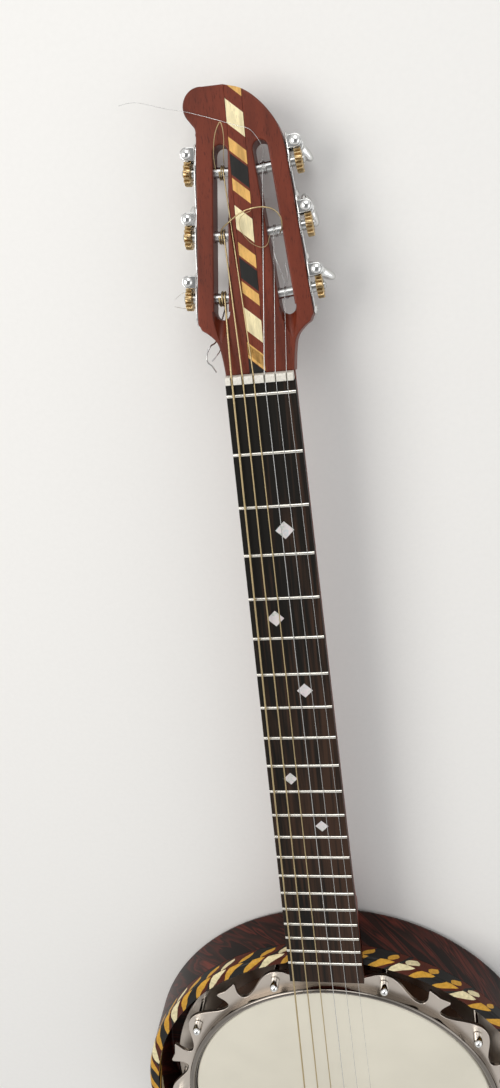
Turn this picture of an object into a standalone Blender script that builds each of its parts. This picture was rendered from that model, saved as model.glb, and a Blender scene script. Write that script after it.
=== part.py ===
"""Six-string banjo with a closed back, lying on that back.

+Z points out of the head, +Y along the neck to the headstock, and X across. The origin is the middle
of the resonator's flat back. Sizes are in millimetres and become metres where a mesh is made.
"""

import math

import bmesh
import bpy
import numpy as np
from mathutils import Matrix, Vector

MM = 0.001
GAP = 0.3  # between pieces that touch
RUN = 0.35  # between a turning piece and what it turns in

# Lengths and heights that set the whole instrument
SCALE_LENGTH = 650.0
BRIDGE_BEHIND_CENTRE = 39.6
HEAD_Z = 50.0
FRET_TOP_Z = 60.0
BRIDGE_HEIGHT = 15.2

# Pot: the wooden hoop, the head and its metal
POT_SIDES = 52
POT_CUT_SIDES = 94
RIM_TOP_R = 123.9
RIM_WALL = 11.0
RIM_BOTTOM_Z = 12.0
RIM_SHOULDER = 3.4  # how far the shoulder stands out below the head's hoop
SHOULDER_TOP_Z = 37.0
SKIN = 0.6
FLESH_HOOP = 3.0  # square section
PLATE_TOP_Z = 47.0
PLATE_THICK = 3.0
COLLAR_OUTER_R = 131.0
COLLAR_TOP_Z = 53.0
BOLT_COUNT = 10
BOLT_CIRCLE_R = 140.5
LOBE_R = 148.3
WAIST_R = 133.4
LOBE_HALF_ANGLE = 13.0
HORN_R = 149.6
SCOOP_R = 146.4
BOLT_R = 2.0
BOLT_HEAD_R = 3.4
BOLT_HEAD_HEIGHT = 3.2
NUT_R = 2.9
NUT_HEIGHT = 9.0
RING_Z = 21.5
RING_THICK = 3.0
RING_OUTER_R = 146.0
RING_OPEN_SIDES = 2  # facets left out each side of the heel

# Resonator: the wooden bowl and its roped edge
BOWL_R = 166.6
BOWL_WALL = 8.2
BOWL_FLOOR = 5.0
BOWL_EDGE = 5.0
BINDING_TOP_Z = 50.5
BINDING_HEIGHT = 11.4
BINDING_ROUND = 2.6
POST_R = 14.0
STICK_WIDTH = 24.0
STICK_HEIGHT = 16.0
STICK_Z = 18.0
STICK_IN_HEEL = 14.7  # how far the stick's end stands past the rim
SCREW_TOP_Z = STICK_Z + STICK_HEIGHT - 4.0
SCREW_R = 2.5
SCREW_HEAD_R = 6.0
SCREW_SEAT_Z = 1.8
SCREW_CONE_Z = 4.0

# Neck and fingerboard
FRETS = 20
BOARD_HALF_AT_NUT = 21.1
BOARD_HALF_AT_LAST = 28.6
BOARD_THICK = 5.2
BOARD_PAST_LAST = 6.7  # from the last fret to the board's end
FRET_HEIGHT = 1.0
FRET_WIDTH = 2.4
NUT_FRONT = 7.0  # from the zero fret to the nut
NUT_THICK = 4.9
NUT_HALF = 20.3
NUT_TOP_Z = 61.4
NUT_SLOT_Z = 59.0
NECK_DEPTH_AT_NUT = 14.6
NECK_DEPTH_AT_HEEL = 17.0
HEEL_PAST_BOWL = 27.4  # from the bowl's wall to the heel's toe
HEEL_SWEEP = 58.0
HEEL_BOTTOM_Z = 8.0
HEEL_CLEAR = 0.6  # round the heel in the bowl's pocket
HEEL_FOOT_HALF = 23.0

# Headstock
HEAD_TILT = 8.0
HEAD_DROP = 5.0  # from the fret tops to the face, at the nut
HEAD_THICK = 15.5
SHOULDER_Y = 36.3
SHOULDER_HALF = 33.9
TIP_Y = 122.0
TIP_HALF = 25.8
THROAT_Y = 134.0  # where the bass side's straight edge ends
SLOT_IN = 14.0  # from the side face to the slot's middle line
SLOT_WIDTH = 8.8
SLOT_LOW = -47.5  # slot ends, measured along the side from the middle roller
SLOT_HIGH = 49.0
RAMP_LENGTH = 13.0  # the slot's run-out toward the nut
RAMP_DEPTH = 8.0
STRIP_X = -1.2
STRIP_WIDTH = 9.6
STRIP_DEPTH = 1.4

# Tuning machines
MACHINE_MIDDLE_Y = 81.1
MACHINE_STEP = 35.0
ROLLER_R = 3.1
ROLLER_DEPTH = 7.0  # roller's axis below the face
ROLLER_STEP = 1.0  # the gear's spigot is this much slimmer
ROLLER_SEAT = 6.0  # how far the roller runs into the middle web
SIDE_PLATE = 1.2
SIDE_PLATE_WAIST = 3.7
SIDE_PLATE_PAD = 6.0
SIDE_PLATE_REACH = 51.0
GEAR_TEETH = 14
GEAR_MODULE = 0.93
GEAR_WIDTH = 3.8
GEAR_OUT = 5.9  # gear's middle plane from the side face
WORM_PITCH_R = 3.0
WORM_SHAFT_R = 1.5
WORM_SIDES = 8
WORM_TURNS = 3
THREAD_SHARE = 0.42  # of the lead, at the thread's foot
LUG_GAP = 5.4  # from the gear's axis to each lug
LUG_THICK = 1.8
LUG_HALF = 3.6
BUTTON_START = 10.0  # behind the gear's axis
BUTTON_LENGTH = 14.0
BUTTON_HALF = 10.2
BUTTON_THICK_HALF = 3.3
BUTTON_BORE = 6.4  # how far the worm's shaft reaches into its button
BUTTON_TURNS = {-1: (70.0, -80.0, 86.0), 1: (-36.0, -75.0, -54.0)}  # each wing as it was left, in degrees

# Strings
STRING_WIDTHS = (1.22, 0.97, 0.76, 0.52, 0.36, 0.28)  # bass to treble
STRING_HALF_AT_NUT = 16.45
STRING_HALF_AT_BRIDGE = 28.45
STRING_HALF_AT_TAIL = 24.0
STRING_CLEAR = 0.2
WINDING_TURNS = 2
WINDING_STEPS = 22
WINDING_GAP = 0.45
TAILPIECE_LIP_Y = -112.0
TAILPIECE_LIP_Z = 57.6

ZERO_FRET_Y = SCALE_LENGTH - BRIDGE_BEHIND_CENTRE
NUT_BACK_Y = ZERO_FRET_Y + NUT_FRONT + NUT_THICK
GEAR_PITCH_R = GEAR_MODULE * GEAR_TEETH / 2
GEAR_TIP_R = GEAR_PITCH_R + 0.75 * GEAR_MODULE
GEAR_ROOT_R = GEAR_PITCH_R - 1.15 * GEAR_MODULE
WORM_TIP_R = WORM_PITCH_R + 0.7 * GEAR_MODULE
WORM_ROOT_R = WORM_PITCH_R - 1.1 * GEAR_MODULE
WORM_LEAD = math.pi * GEAR_MODULE
CENTRE_DISTANCE = GEAR_PITCH_R + WORM_PITCH_R
HEEL_TOE_Y = BOWL_R + HEEL_PAST_BOWL
HEEL_START_Y = HEEL_TOE_Y + HEEL_SWEEP
STICK_END_Y = RIM_TOP_R + RIM_SHOULDER + STICK_IN_HEEL
BOARD_LOW_Z = FRET_TOP_Z - FRET_HEIGHT - BOARD_THICK
NECK_TOP_Z = BOARD_LOW_Z - GAP
CUT_PAST = 15.0  # how far a cutter runs past what it cuts
HOOP_LOW_Z = SHOULDER_TOP_Z + 1.3
COLLAR_LOW_Z = HOOP_LOW_Z + FLESH_HOOP + GAP

FINISHES = {}


def material(name, colour, roughness, metallic=0.0):
    """A Principled material, made once for each name."""
    if name in FINISHES:
        return FINISHES[name]
    made = bpy.data.materials.new(name)
    made.use_nodes = True
    shader = made.node_tree.nodes["Principled BSDF"]
    shader.inputs["Base Color"].default_value = (*colour, 1.0)
    shader.inputs["Roughness"].default_value = roughness
    shader.inputs["Metallic"].default_value = metallic
    made.diffuse_color = (*colour, 1.0)
    FINISHES[name] = made
    return made


def mahogany():
    return material("mahogany", (0.16, 0.045, 0.02), 0.4)


def rosewood():
    return material("rosewood", (0.07, 0.022, 0.012), 0.3)


def nickel():
    return material("nickel", (0.62, 0.58, 0.52), 0.22, 1.0)


def brass():
    return material("brass", (0.65, 0.42, 0.14), 0.3, 1.0)


def steel():
    return material("steel", (0.55, 0.55, 0.56), 0.25, 1.0)


def maple():
    return material("maple", (0.45, 0.27, 0.13), 0.4)


def solid(name, points, faces, finish, place=None, sharp=35.0):
    """A closed mesh from points in millimetres, with its faces turned outwards."""
    shape = bmesh.new()
    corners = [shape.verts.new(Vector(p) * MM) for p in points]
    for face in faces:
        shape.faces.new([corners[i] for i in face])
    bmesh.ops.recalc_face_normals(shape, faces=shape.faces)
    mesh = bpy.data.meshes.new(name)
    shape.to_mesh(mesh)
    shape.free()
    mesh.shade_smooth()
    mesh.set_sharp_from_angle(angle=math.radians(sharp))
    return placed(name, mesh, finish, place)


def placed(name, mesh, finish, place=None):
    """An object for this mesh at a matrix whose shifts are in millimetres."""
    obj = bpy.data.objects.new(name, mesh)
    bpy.context.scene.collection.objects.link(obj)
    if place is not None:
        obj.matrix_world = Matrix.Translation(place.translation * MM) @ place.to_3x3().to_4x4()
    if finish is not None:
        obj.data.materials.append(finish)
    return obj


def hide(obj):
    """Keeps a cutter or guide out of the finished object."""
    obj.hide_render = True
    obj.display_type = "WIRE"
    return obj


def boolean(obj, other, operation):
    step = obj.modifiers.new(other.name, "BOOLEAN")
    step.operation = operation
    step.object = hide(other)
    return obj


def ring_faces(count, sides, wrap=False):
    """Quads between rings of equal size; wrap joins the last ring to the first."""
    faces = []
    for i in range(count if wrap else count - 1):
        low, high = i * sides, (i + 1) % count * sides
        faces += [
            (low + j, low + (j + 1) % sides, high + (j + 1) % sides, high + j) for j in range(sides)
        ]
    return faces


def lofted(name, rings, finish, place=None, wrap=False, sharp=35.0):
    """A skin over rings of points that all have the same count, with flat ends unless it wraps."""
    sides = len(rings[0])
    faces = ring_faces(len(rings), sides, wrap)
    if not wrap:
        last = (len(rings) - 1) * sides
        faces += [tuple(range(sides)), tuple(range(last, last + sides))]
    return solid(name, [p for ring in rings for p in ring], faces, finish, place, sharp)


def circle(sides, radius_x, radius_y, z, turn=0.0):
    steps = [2 * math.pi * j / sides + turn for j in range(sides)]
    return [(radius_x * math.cos(a), radius_y * math.sin(a), z) for a in steps]


def turned(name, profile, sides, finish, place=None, closed=False, sharp=35.0):
    """A profile of (radius, height) turned about Z. A closed profile makes a hoop."""
    rings = [circle(sides, r, r, z) for r, z in profile]
    return lofted(name, rings, finish, place, closed, sharp)


def prism(name, outline, low, high, finish, place=None):
    """An outline in the XY plane, extruded from one height to another."""
    return lofted(name, [[(x, y, z) for x, y in outline] for z in (low, high)], finish, place)


def curved(points, steps=4):
    """A Catmull-Rom curve through the points, ends included."""
    p = [2 * np.array(points[0]) - points[1], *map(np.array, points), 2 * np.array(points[-1]) - points[-2]]
    out = []
    for a, b, c, d in zip(p, p[1:], p[2:], p[3:]):
        for k in range(steps):
            t = k / steps
            out.append(
                0.5
                * (2 * b + (c - a) * t + (2 * a - 5 * b + 4 * c - d) * t**2 + (3 * b - a - 3 * c + d) * t**3)
            )
    out.append(p[-2])
    return [tuple(float(v) for v in q) for q in out]


def arc(middle, radius, start, end, steps):
    """Points round an arc, angles in degrees, both ends included."""
    angles = np.radians(np.linspace(start, end, steps + 1))
    return [(middle[0] + radius * math.cos(a), middle[1] + radius * math.sin(a)) for a in angles]


def blend(low, high, share):
    return low + (high - low) * share


def fret_y(number):
    """Each fret shortens the string by the twelfth root of two."""
    return ZERO_FRET_Y - SCALE_LENGTH * (1 - 2 ** (-number / 12))


def board_half(y):
    return blend(BOARD_HALF_AT_NUT, BOARD_HALF_AT_LAST, (ZERO_FRET_Y - y) / (ZERO_FRET_Y - fret_y(FRETS)))


def string_line(index, half):
    """A string's x where the outer strings are this far from the middle."""
    return half * (2 * index / (len(STRING_WIDTHS) - 1) - 1)


def tilted():
    """The headstock's frame: its face is the local XY plane and starts at the nut's back."""
    lift = Matrix.Translation((0, NUT_BACK_Y - GAP, FRET_TOP_Z - HEAD_DROP))
    return lift @ Matrix.Rotation(math.radians(-HEAD_TILT), 4, "X")


def side_frame(side):
    """The frame of one row of machines: +X across the headstock to the treble side, +Y along the
    side face to the tip, +Z out of the front.

    Its origin is on the side face at the middle roller's axis. side is 1 on the treble side, where
    +X points out of the wood, and -1 on the bass side, where +X points into it.
    """
    taper = math.atan2(SHOULDER_HALF - TIP_HALF, TIP_Y - SHOULDER_Y)
    edge = SHOULDER_HALF - math.tan(taper) * (MACHINE_MIDDLE_Y - SHOULDER_Y)
    shift = Matrix.Translation((side * edge, MACHINE_MIDDLE_Y, -ROLLER_DEPTH))
    across = Vector((math.cos(taper), side * math.sin(taper), 0))
    along = Vector((-side * math.sin(taper), math.cos(taper), 0))
    turn = Matrix((across, along, Vector((0, 0, 1)))).transposed().to_4x4()
    return tilted() @ shift @ turn


def machine_frame(side, step):
    """One machine's frame on the side face. step is -1, 0 or 1 from the nut to the tip."""
    return side_frame(side) @ Matrix.Translation((0, step * MACHINE_STEP, 0))


def roller_place(side, step):
    """The roller's own axis, +Z out of the wood."""
    return machine_frame(side, step) @ Matrix.Rotation(side * math.radians(90), 4, "Y")


def gear_place(side, step):
    return machine_frame(side, step) @ Matrix.Translation((side * GEAR_OUT, 0, 0))


def worm_place(side, step):
    """The worm stands beside the gear, toward the tip, on the gear's middle plane."""
    return machine_frame(side, step) @ Matrix.Translation((side * GEAR_OUT, CENTRE_DISTANCE, 0))


def clear_scene():
    for obj in list(bpy.data.objects):
        bpy.data.objects.remove(obj, do_unlink=True)


def make_resonator():
    """A bowl with a flat back, turned from wood, with a post in the middle that carries the stick."""
    inner = BOWL_R - BOWL_WALL
    top = BINDING_TOP_Z - BINDING_HEIGHT - GAP
    edge = arc((BOWL_R - BOWL_EDGE, BOWL_EDGE), BOWL_EDGE, -90, 0, 3)
    profile = [*edge, (BOWL_R, top), (inner, top), (inner, BOWL_FLOOR)]
    bowl = turned("resonator", profile, POT_SIDES, rosewood())
    post = [(POST_R, BOWL_FLOOR / 2), (POST_R, STICK_Z - GAP)]
    boolean(bowl, turned("resonator_post", post, 16, None), "UNION")
    boolean(bowl, screw_cutter("resonator_screw_hole", SCREW_TOP_Z), "DIFFERENCE")
    return boolean(bowl, neck_pocket("resonator_neck_pocket"), "DIFFERENCE")


def screw_cutter(name, high):
    """The clearance for the back screw: its head's recess, its countersink and its shank's hole."""
    wide, slim = SCREW_HEAD_R + GAP, SCREW_R + GAP
    return turned(name, [(wide, -2), (wide, SCREW_SEAT_Z), (slim, SCREW_CONE_Z), (slim, high)], 12, None)


def neck_pocket(name):
    """The clearance that the heel needs through the bowl's wall and its roped edge."""
    near, far = BOWL_R - BOWL_WALL - CUT_PAST, BOWL_R + CUT_PAST
    rings = []
    for z in (HEEL_BOTTOM_Z - HEEL_CLEAR, NECK_TOP_Z, BINDING_TOP_Z + CUT_PAST):
        half = heel_half(BOWL_R - BOWL_WALL / 2, z) + HEEL_CLEAR
        rings.append([(-half, near, z), (half, near, z), (half, far, z), (-half, far, z)])
    return lofted(name, rings, None)


def make_binding():
    """The roped edge: a band of marquetry that covers the corner of the bowl's wall."""
    low = BINDING_TOP_Z - BINDING_HEIGHT
    corner = arc((BOWL_R - BINDING_ROUND, BINDING_TOP_Z - BINDING_ROUND), BINDING_ROUND, 0, 90, 2)
    profile = [(BOWL_R - BOWL_WALL, low), (BOWL_R, low), *corner, (BOWL_R - BOWL_WALL, BINDING_TOP_Z)]
    veneers = material("marquetry", (0.5, 0.33, 0.12), 0.35)
    band = turned("rope_binding", profile, POT_SIDES, veneers, closed=True)
    return boolean(band, neck_pocket("binding_neck_pocket"), "DIFFERENCE")


def make_rim():
    """The laminated hoop. The bracket ring pulls up under its shoulder."""
    shoulder_r = RIM_TOP_R + RIM_SHOULDER
    ring_top = RING_Z + RING_THICK + GAP
    top = HEAD_Z - SKIN - GAP
    inner = RIM_TOP_R - RIM_WALL
    profile = [(inner, RIM_BOTTOM_Z), (RIM_TOP_R, RIM_BOTTOM_Z), (RIM_TOP_R, ring_top)]
    profile += [(shoulder_r, ring_top), (shoulder_r, SHOULDER_TOP_Z), (RIM_TOP_R, SHOULDER_TOP_Z)]
    profile += [(RIM_TOP_R, top - 1.5), (RIM_TOP_R - 1.5, top), (inner, top)]
    rim = turned("rim", profile, POT_SIDES, maple(), closed=True)
    half = STICK_WIDTH / 2 + GAP
    low, high = STICK_Z - GAP, STICK_Z + STICK_HEIGHT + GAP
    near, far = inner - CUT_PAST, shoulder_r + CUT_PAST
    window = [(-half, near), (half, near), (half, far), (-half, far)]
    return boolean(rim, prism("rim_window", window, low, high, None), "DIFFERENCE")


def make_head():
    """The skin: flat over the rim, down its outside and round the flesh hoop."""
    outer = RIM_TOP_R + GAP + SKIN
    hoop_r = outer - SKIN + FLESH_HOOP
    hoop_high = HOOP_LOW_Z + FLESH_HOOP
    profile = [(outer - SKIN, HOOP_LOW_Z), (hoop_r, HOOP_LOW_Z), (hoop_r, hoop_high), (outer, hoop_high)]
    profile += [(outer, HEAD_Z - 2.2), (outer - 2, HEAD_Z)]
    under = [(outer - 2.3, HEAD_Z - SKIN), (outer - SKIN, HEAD_Z - 2.5)]
    rings = [circle(POT_SIDES, r, r, z) for r, z in under + profile]
    faces = ring_faces(len(rings), POT_SIDES)
    last = (len(rings) - 1) * POT_SIDES
    faces += [tuple(range(POT_SIDES)), tuple(range(last, last + POT_SIDES))]
    points = [p for ring in rings for p in ring]
    skin = material("skin", (0.66, 0.62, 0.52), 0.55)
    return solid("drum_head", points, faces, skin)


def plate_half_period():
    """(angle from a bolt in degrees, radius) from the lobe's crown to the middle of the tulip.

    The lobe is one raised cosine. A round notch, a nearly straight cheek, a horn and a hollow
    between two horns make the tulip.
    """
    half = LOBE_HALF_ANGLE
    lobe = [
        (a, WAIST_R + (LOBE_R - WAIST_R) * (0.5 + 0.5 * math.cos(math.pi * a / half)))
        for a in np.linspace(0, half, 5)
    ]
    middle = 180 / BOLT_COUNT
    notch = [(middle - 3.6, WAIST_R + 1.6)]
    cheek = [(middle - 3.0, WAIST_R + 6.5), (middle - 3.5, HORN_R - 3.0)]
    horn = [(middle - 3.9, HORN_R)]
    scoop = [(middle - 2.2, SCOOP_R + 0.8), (middle, SCOOP_R)]
    return lobe + notch + cheek + horn + scoop


def plate_outline():
    """The tension plate's outline. At the neck a plain dip takes the tulip's place."""
    half = plate_half_period()
    lobe = [p for p in half if p[0] <= LOBE_HALF_ANGLE]
    step = 360 / BOLT_COUNT
    points = []
    for bolt in range(BOLT_COUNT):
        centre = (bolt + 0.5) * step
        before = lobe if bolt == 0 else half[:-1]
        after = lobe if bolt == BOLT_COUNT - 1 else half
        points += [(centre - a, r) for a, r in reversed(before)]
        points += [(centre + a, r) for a, r in after[1:]]
    return [(r * math.sin(math.radians(a)), r * math.cos(math.radians(a))) for a, r in reversed(points)]


def make_tension_plate():
    """The cast plate that pulls the head down: lobes and tulips outside, a rolled collar inside."""
    skin_r = RIM_TOP_R + GAP + SKIN
    inner = skin_r + 2 * GAP
    plate = prism("tension_plate", plate_outline(), PLATE_TOP_Z - PLATE_THICK, PLATE_TOP_Z, nickel())
    bend = (COLLAR_OUTER_R - inner) / 2
    roll = arc((inner + bend, 0), bend, 0, 180, 4)
    roll = [(r, COLLAR_TOP_Z - 0.75 * (bend - rise)) for r, rise in roll]
    profile = [(inner, COLLAR_LOW_Z), (COLLAR_OUTER_R, COLLAR_LOW_Z), *roll]
    collar = turned("tension_collar", profile, POT_SIDES, None, closed=True)
    bore = [(skin_r + 1.5, PLATE_TOP_Z - CUT_PAST), (skin_r + 1.5, PLATE_TOP_Z + CUT_PAST)]
    boolean(plate, turned("tension_bore", bore, POT_SIDES, None), "DIFFERENCE")
    boolean(plate, collar, "UNION")
    return boolean(plate, bolt_holes("plate_holes"), "DIFFERENCE")


def bolt_place(number):
    angle = math.radians((number + 0.5) * 360 / BOLT_COUNT)
    return Matrix.Translation((BOLT_CIRCLE_R * math.sin(angle), BOLT_CIRCLE_R * math.cos(angle), 0))


def bolt_holes(name):
    """A cutter with a round hole for each bolt."""
    sides = 8
    ends = (RING_Z - CUT_PAST, PLATE_TOP_Z + CUT_PAST)
    hole = [circle(sides, BOLT_R + GAP, BOLT_R + GAP, z, 0.2) for z in ends]
    points, faces = [], []
    for number in range(BOLT_COUNT):
        first = len(points)
        points += [tuple(bolt_place(number) @ Vector(p)) for ring in hole for p in ring]
        faces += [tuple(first + i for i in face) for face in ring_faces(2, sides)]
        faces += [tuple(first + i for i in range(k, k + sides)) for k in (0, sides)]
    return solid(name, points, faces, None)


def make_bolts():
    """Ten bolts draw the plate down to the bracket ring. Each has a tall domed nut on top."""
    seat = PLATE_TOP_Z + GAP
    dome = arc((0, seat + NUT_HEIGHT - NUT_R), NUT_R, 0, 75, 2)
    under = RING_Z - GAP
    profile = [(BOLT_HEAD_R, under - BOLT_HEAD_HEIGHT), (BOLT_HEAD_R, under), (BOLT_R, under), (BOLT_R, seat)]
    profile += [(NUT_R, seat), *dome]
    first = turned("tension_bolt_1", profile, 8, nickel(), bolt_place(0))
    for number in range(1, BOLT_COUNT):
        placed(f"tension_bolt_{number + 1}", first.data, None, bolt_place(number))


def make_bracket_ring():
    """A flat ring under the rim's shoulder, open at the heel, that takes the bolts' lower ends."""
    step = 2 * math.pi / POT_SIDES
    turns = [math.pi / 2 - step * k for k in range(RING_OPEN_SIDES, POT_SIDES - RING_OPEN_SIDES + 1)]
    outline = [(RING_OUTER_R * math.cos(a), RING_OUTER_R * math.sin(a)) for a in turns]
    inner = RIM_TOP_R + GAP
    outline += [(inner * math.cos(a), inner * math.sin(a)) for a in reversed(turns)]
    ring = prism("bracket_ring", outline, RING_Z, RING_Z + RING_THICK, nickel())
    return boolean(ring, bolt_holes("ring_holes"), "DIFFERENCE")


def make_stick():
    """The stick that carries the rim from the heel to the tail."""
    half = STICK_WIDTH / 2
    tail = GAP - math.cos(math.pi / POT_SIDES) * math.sqrt((RIM_TOP_R - RIM_WALL) ** 2 - half**2)
    outline = [(-half, tail), (half, tail), (half, STICK_END_Y), (-half, STICK_END_Y)]
    stick = prism("dowel_stick", outline, STICK_Z, STICK_Z + STICK_HEIGHT, maple())
    return boolean(stick, screw_cutter("stick_screw_hole", SCREW_TOP_Z + GAP), "DIFFERENCE")


def make_back_screw():
    """One countersunk screw holds the bowl to the stick."""
    seat, cone = SCREW_SEAT_Z - GAP, SCREW_CONE_Z - GAP
    profile = [(SCREW_HEAD_R, 0), (SCREW_HEAD_R, seat), (SCREW_R, cone), (SCREW_R, SCREW_TOP_Z)]
    return turned("back_screw", profile, 12, nickel())


def neck_depth(y):
    """The back of the neck, as a height. It drops in a smooth curve to the heel's toe."""
    shaft = NECK_TOP_Z - blend(
        NECK_DEPTH_AT_NUT, NECK_DEPTH_AT_HEEL, (NUT_BACK_Y - y) / (NUT_BACK_Y - HEEL_START_Y)
    )
    if y >= HEEL_START_Y:
        return shaft
    share = min(1.0, (HEEL_START_Y - y) / (HEEL_START_Y - HEEL_TOE_Y))
    sweep = 1 - math.sqrt(max(0.0, 1 - share**2.2))
    return blend(shaft, HEEL_BOTTOM_Z, sweep)


def heel_half(y, z):
    """The heel narrows from the fingerboard's width to its foot."""
    share = (NECK_TOP_Z - z) / (NECK_TOP_Z - HEEL_BOTTOM_Z)
    return blend(board_half(y), HEEL_FOOT_HALF, max(0.0, share) ** 1.2)


def neck_section(y):
    """A rounded D, whose corners grow square where the heel is deep."""
    top = NECK_TOP_Z
    low = neck_depth(y)
    depth = top - low
    shaft = NECK_DEPTH_AT_HEEL
    deep = min(1.0, max(0.0, (depth - shaft) / (top - HEEL_BOTTOM_Z - shaft)))
    square = blend(0.78, 0.3, min(1.0, deep * 3))
    ring = [(board_half(y), y, top)]
    for angle in np.radians(np.linspace(0, 180, 11)):
        across, down = math.cos(angle), math.sin(angle)
        z = top - 1.5 - (depth - 1.5) * abs(down) ** square
        half = blend(board_half(y), heel_half(y, z), deep)
        ring.append((half * math.copysign(abs(across) ** square, across), y, z))
    ring.append((-board_half(y), y, top))
    return ring


def make_neck():
    """Shaft, heel and slotted headstock, carved in one."""
    stations = [NUT_BACK_Y + 3, *np.linspace(NUT_BACK_Y - 12, HEEL_START_Y, 5)]
    shares = (0.28, 0.5, 0.68, 0.83, 0.93, 0.985, 1.0)
    stations += [blend(HEEL_START_Y, HEEL_TOE_Y, s) for s in shares]
    stations += [RIM_TOP_R - CUT_PAST]
    neck = lofted("neck", [neck_section(y) for y in stations], mahogany(), sharp=40.0)
    boolean(neck, pot_cutter(), "DIFFERENCE")
    stub = STICK_WIDTH / 2 + GAP
    near, end = RIM_TOP_R - 2 * CUT_PAST, STICK_END_Y + GAP
    outline = [(-stub, near), (stub, near), (stub, end), (-stub, end)]
    mortise = prism("neck_stick_cut", outline, STICK_Z - GAP, STICK_Z + STICK_HEIGHT + GAP, None)
    boolean(neck, mortise, "DIFFERENCE")
    boolean(neck, make_headstock_block(), "UNION")
    for side in (-1, 1):
        cut_side(neck, side)
    for index in range(len(STRING_WIDTHS)):
        boolean(neck, string_groove(index), "DIFFERENCE")
    strip = prism("strip_channel", strip_outline(STRIP_WIDTH / 2 + 0.2, 200), -STRIP_DEPTH, 5, None, tilted())
    return boolean(neck, strip, "DIFFERENCE")


def pot_cutter():
    """What the heel gives way to: the rim, then the collar above it, then the plate above that."""
    rim = RIM_TOP_R + RIM_SHOULDER + GAP
    collar, collar_z = COLLAR_OUTER_R + 0.8, COLLAR_LOW_Z - 0.8
    plate, plate_z = HORN_R + 1.5, PLATE_TOP_Z - PLATE_THICK - 0.8
    high = FRET_TOP_Z + CUT_PAST
    profile = [(rim, 0), (rim, collar_z), (collar, collar_z), (collar, plate_z), (plate, plate_z)]
    return turned("neck_pot_cut", [*profile, (plate, high)], POT_CUT_SIDES, None)


def headstock_outline():
    """The face's outline: two curved cheeks, straight sides, and a scroll that leans to the bass side."""
    cheek = [(NUT_HALF + 0.4, 0), (21.8, 10.3), (23.6, 18.8), (27.6, 24.0), (32.4, 27.6)]
    right = curved(cheek, 3) + arc((31.5, 32.2), 2.9, -45, 5, 2)
    crown = [(TIP_HALF, TIP_Y), (24.2, 130.0), (20.6, 139.0), (13.2, 148.7), (4.1, 156.0), (-6.6, 159.6)]
    crown = curved(crown, 3)
    scroll = arc((-20.3, 149.8), 10.2, 80, 215, 8)
    throat = arc((-29.2, 136.9), 4.6, 40, -20, 3)
    end = TIP_HALF - (SHOULDER_HALF - TIP_HALF) / (TIP_Y - SHOULDER_Y) * (THROAT_Y - TIP_Y)
    left = [(-x, y) for x, y in reversed(right)]
    return right + crown + scroll + throat + [(-end, THROAT_Y)] + left


def make_headstock_block():
    return prism("headstock_block", headstock_outline(), -HEAD_THICK, 0, None, tilted())


def cut_side(neck, side):
    """One slot, and the three holes that the rollers run in."""
    frame = side_frame(side)
    half = SLOT_WIDTH / 2
    low = arc((-side * SLOT_IN, SLOT_LOW + half), half, 180, 360, 6)
    high = arc((-side * SLOT_IN, SLOT_HIGH - half), half, 0, 180, 6)
    slot = prism(f"slot_{side}", low + high, -2 * CUT_PAST, CUT_PAST, None, frame)
    boolean(neck, slot, "DIFFERENCE")
    boolean(neck, slot_ramp(side, frame), "DIFFERENCE")
    inner = -(SLOT_IN + half + ROLLER_SEAT) - 0.5
    for step in (-1, 0, 1):
        bore = [(ROLLER_R + RUN, inner), (ROLLER_R + RUN, 6)]
        hole = turned(f"roller_bore_{side}_{step}", bore, 12, None, roller_place(side, step))
        boolean(neck, hole, "DIFFERENCE")


def slot_ramp(side, frame):
    """The slot's end toward the nut runs out into the face, narrower and shallower as it goes."""
    rings = []
    for y, half, depth in ((SLOT_LOW + 4, 4.2, RAMP_DEPTH), (SLOT_LOW - RAMP_LENGTH, 0.9, 0.3)):
        low, high = ROLLER_DEPTH - depth, ROLLER_DEPTH + CUT_PAST
        x = -side * SLOT_IN
        rings.append([(x - half, y, low), (x + half, y, low), (x + half, y, high), (x - half, y, high)])
    return lofted(f"slot_ramp_{side}", rings, None, frame)


def strip_outline(half, length):
    return [(STRIP_X - half, -5), (STRIP_X + half, -5), (STRIP_X + half, length), (STRIP_X - half, length)]


def make_strip():
    """The inlaid strip down the headstock's middle, cut off by the crown's outline."""
    outline = strip_outline(STRIP_WIDTH / 2, 200)
    outline = [(x, max(y, 0.3)) for x, y in outline]
    finish = material("strip_veneer", (0.55, 0.42, 0.22), 0.4)
    strip = prism("headstock_strip", outline, GAP - STRIP_DEPTH, 0, finish, tilted())
    trim = prism("strip_trim", headstock_outline(), -HEAD_THICK, 10, None, tilted())
    return boolean(strip, trim, "INTERSECT")


def make_fretboard():
    """A tapered board whose side view carries the frets, so board and frets are one solid."""
    top = FRET_TOP_Z - FRET_HEIGHT
    low = BOARD_LOW_Z
    end = fret_y(FRETS) - BOARD_PAST_LAST
    profile = [(end, low), (end, top)]
    half = FRET_WIDTH / 2
    for number in range(FRETS, -1, -1):
        y = fret_y(number)
        profile += [(y - half, top), (y - half / 3, FRET_TOP_Z), (y + half / 3, FRET_TOP_Z), (y + half, top)]
    front = ZERO_FRET_Y + NUT_FRONT - GAP
    profile += [(front, top), (front, low)]
    rings = [[(side * board_half(y), y, z) for y, z in profile] for side in (-1, 1)]
    return lofted("fretboard", rings, material("ebony", (0.02, 0.016, 0.013), 0.45), sharp=20.0)


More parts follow.
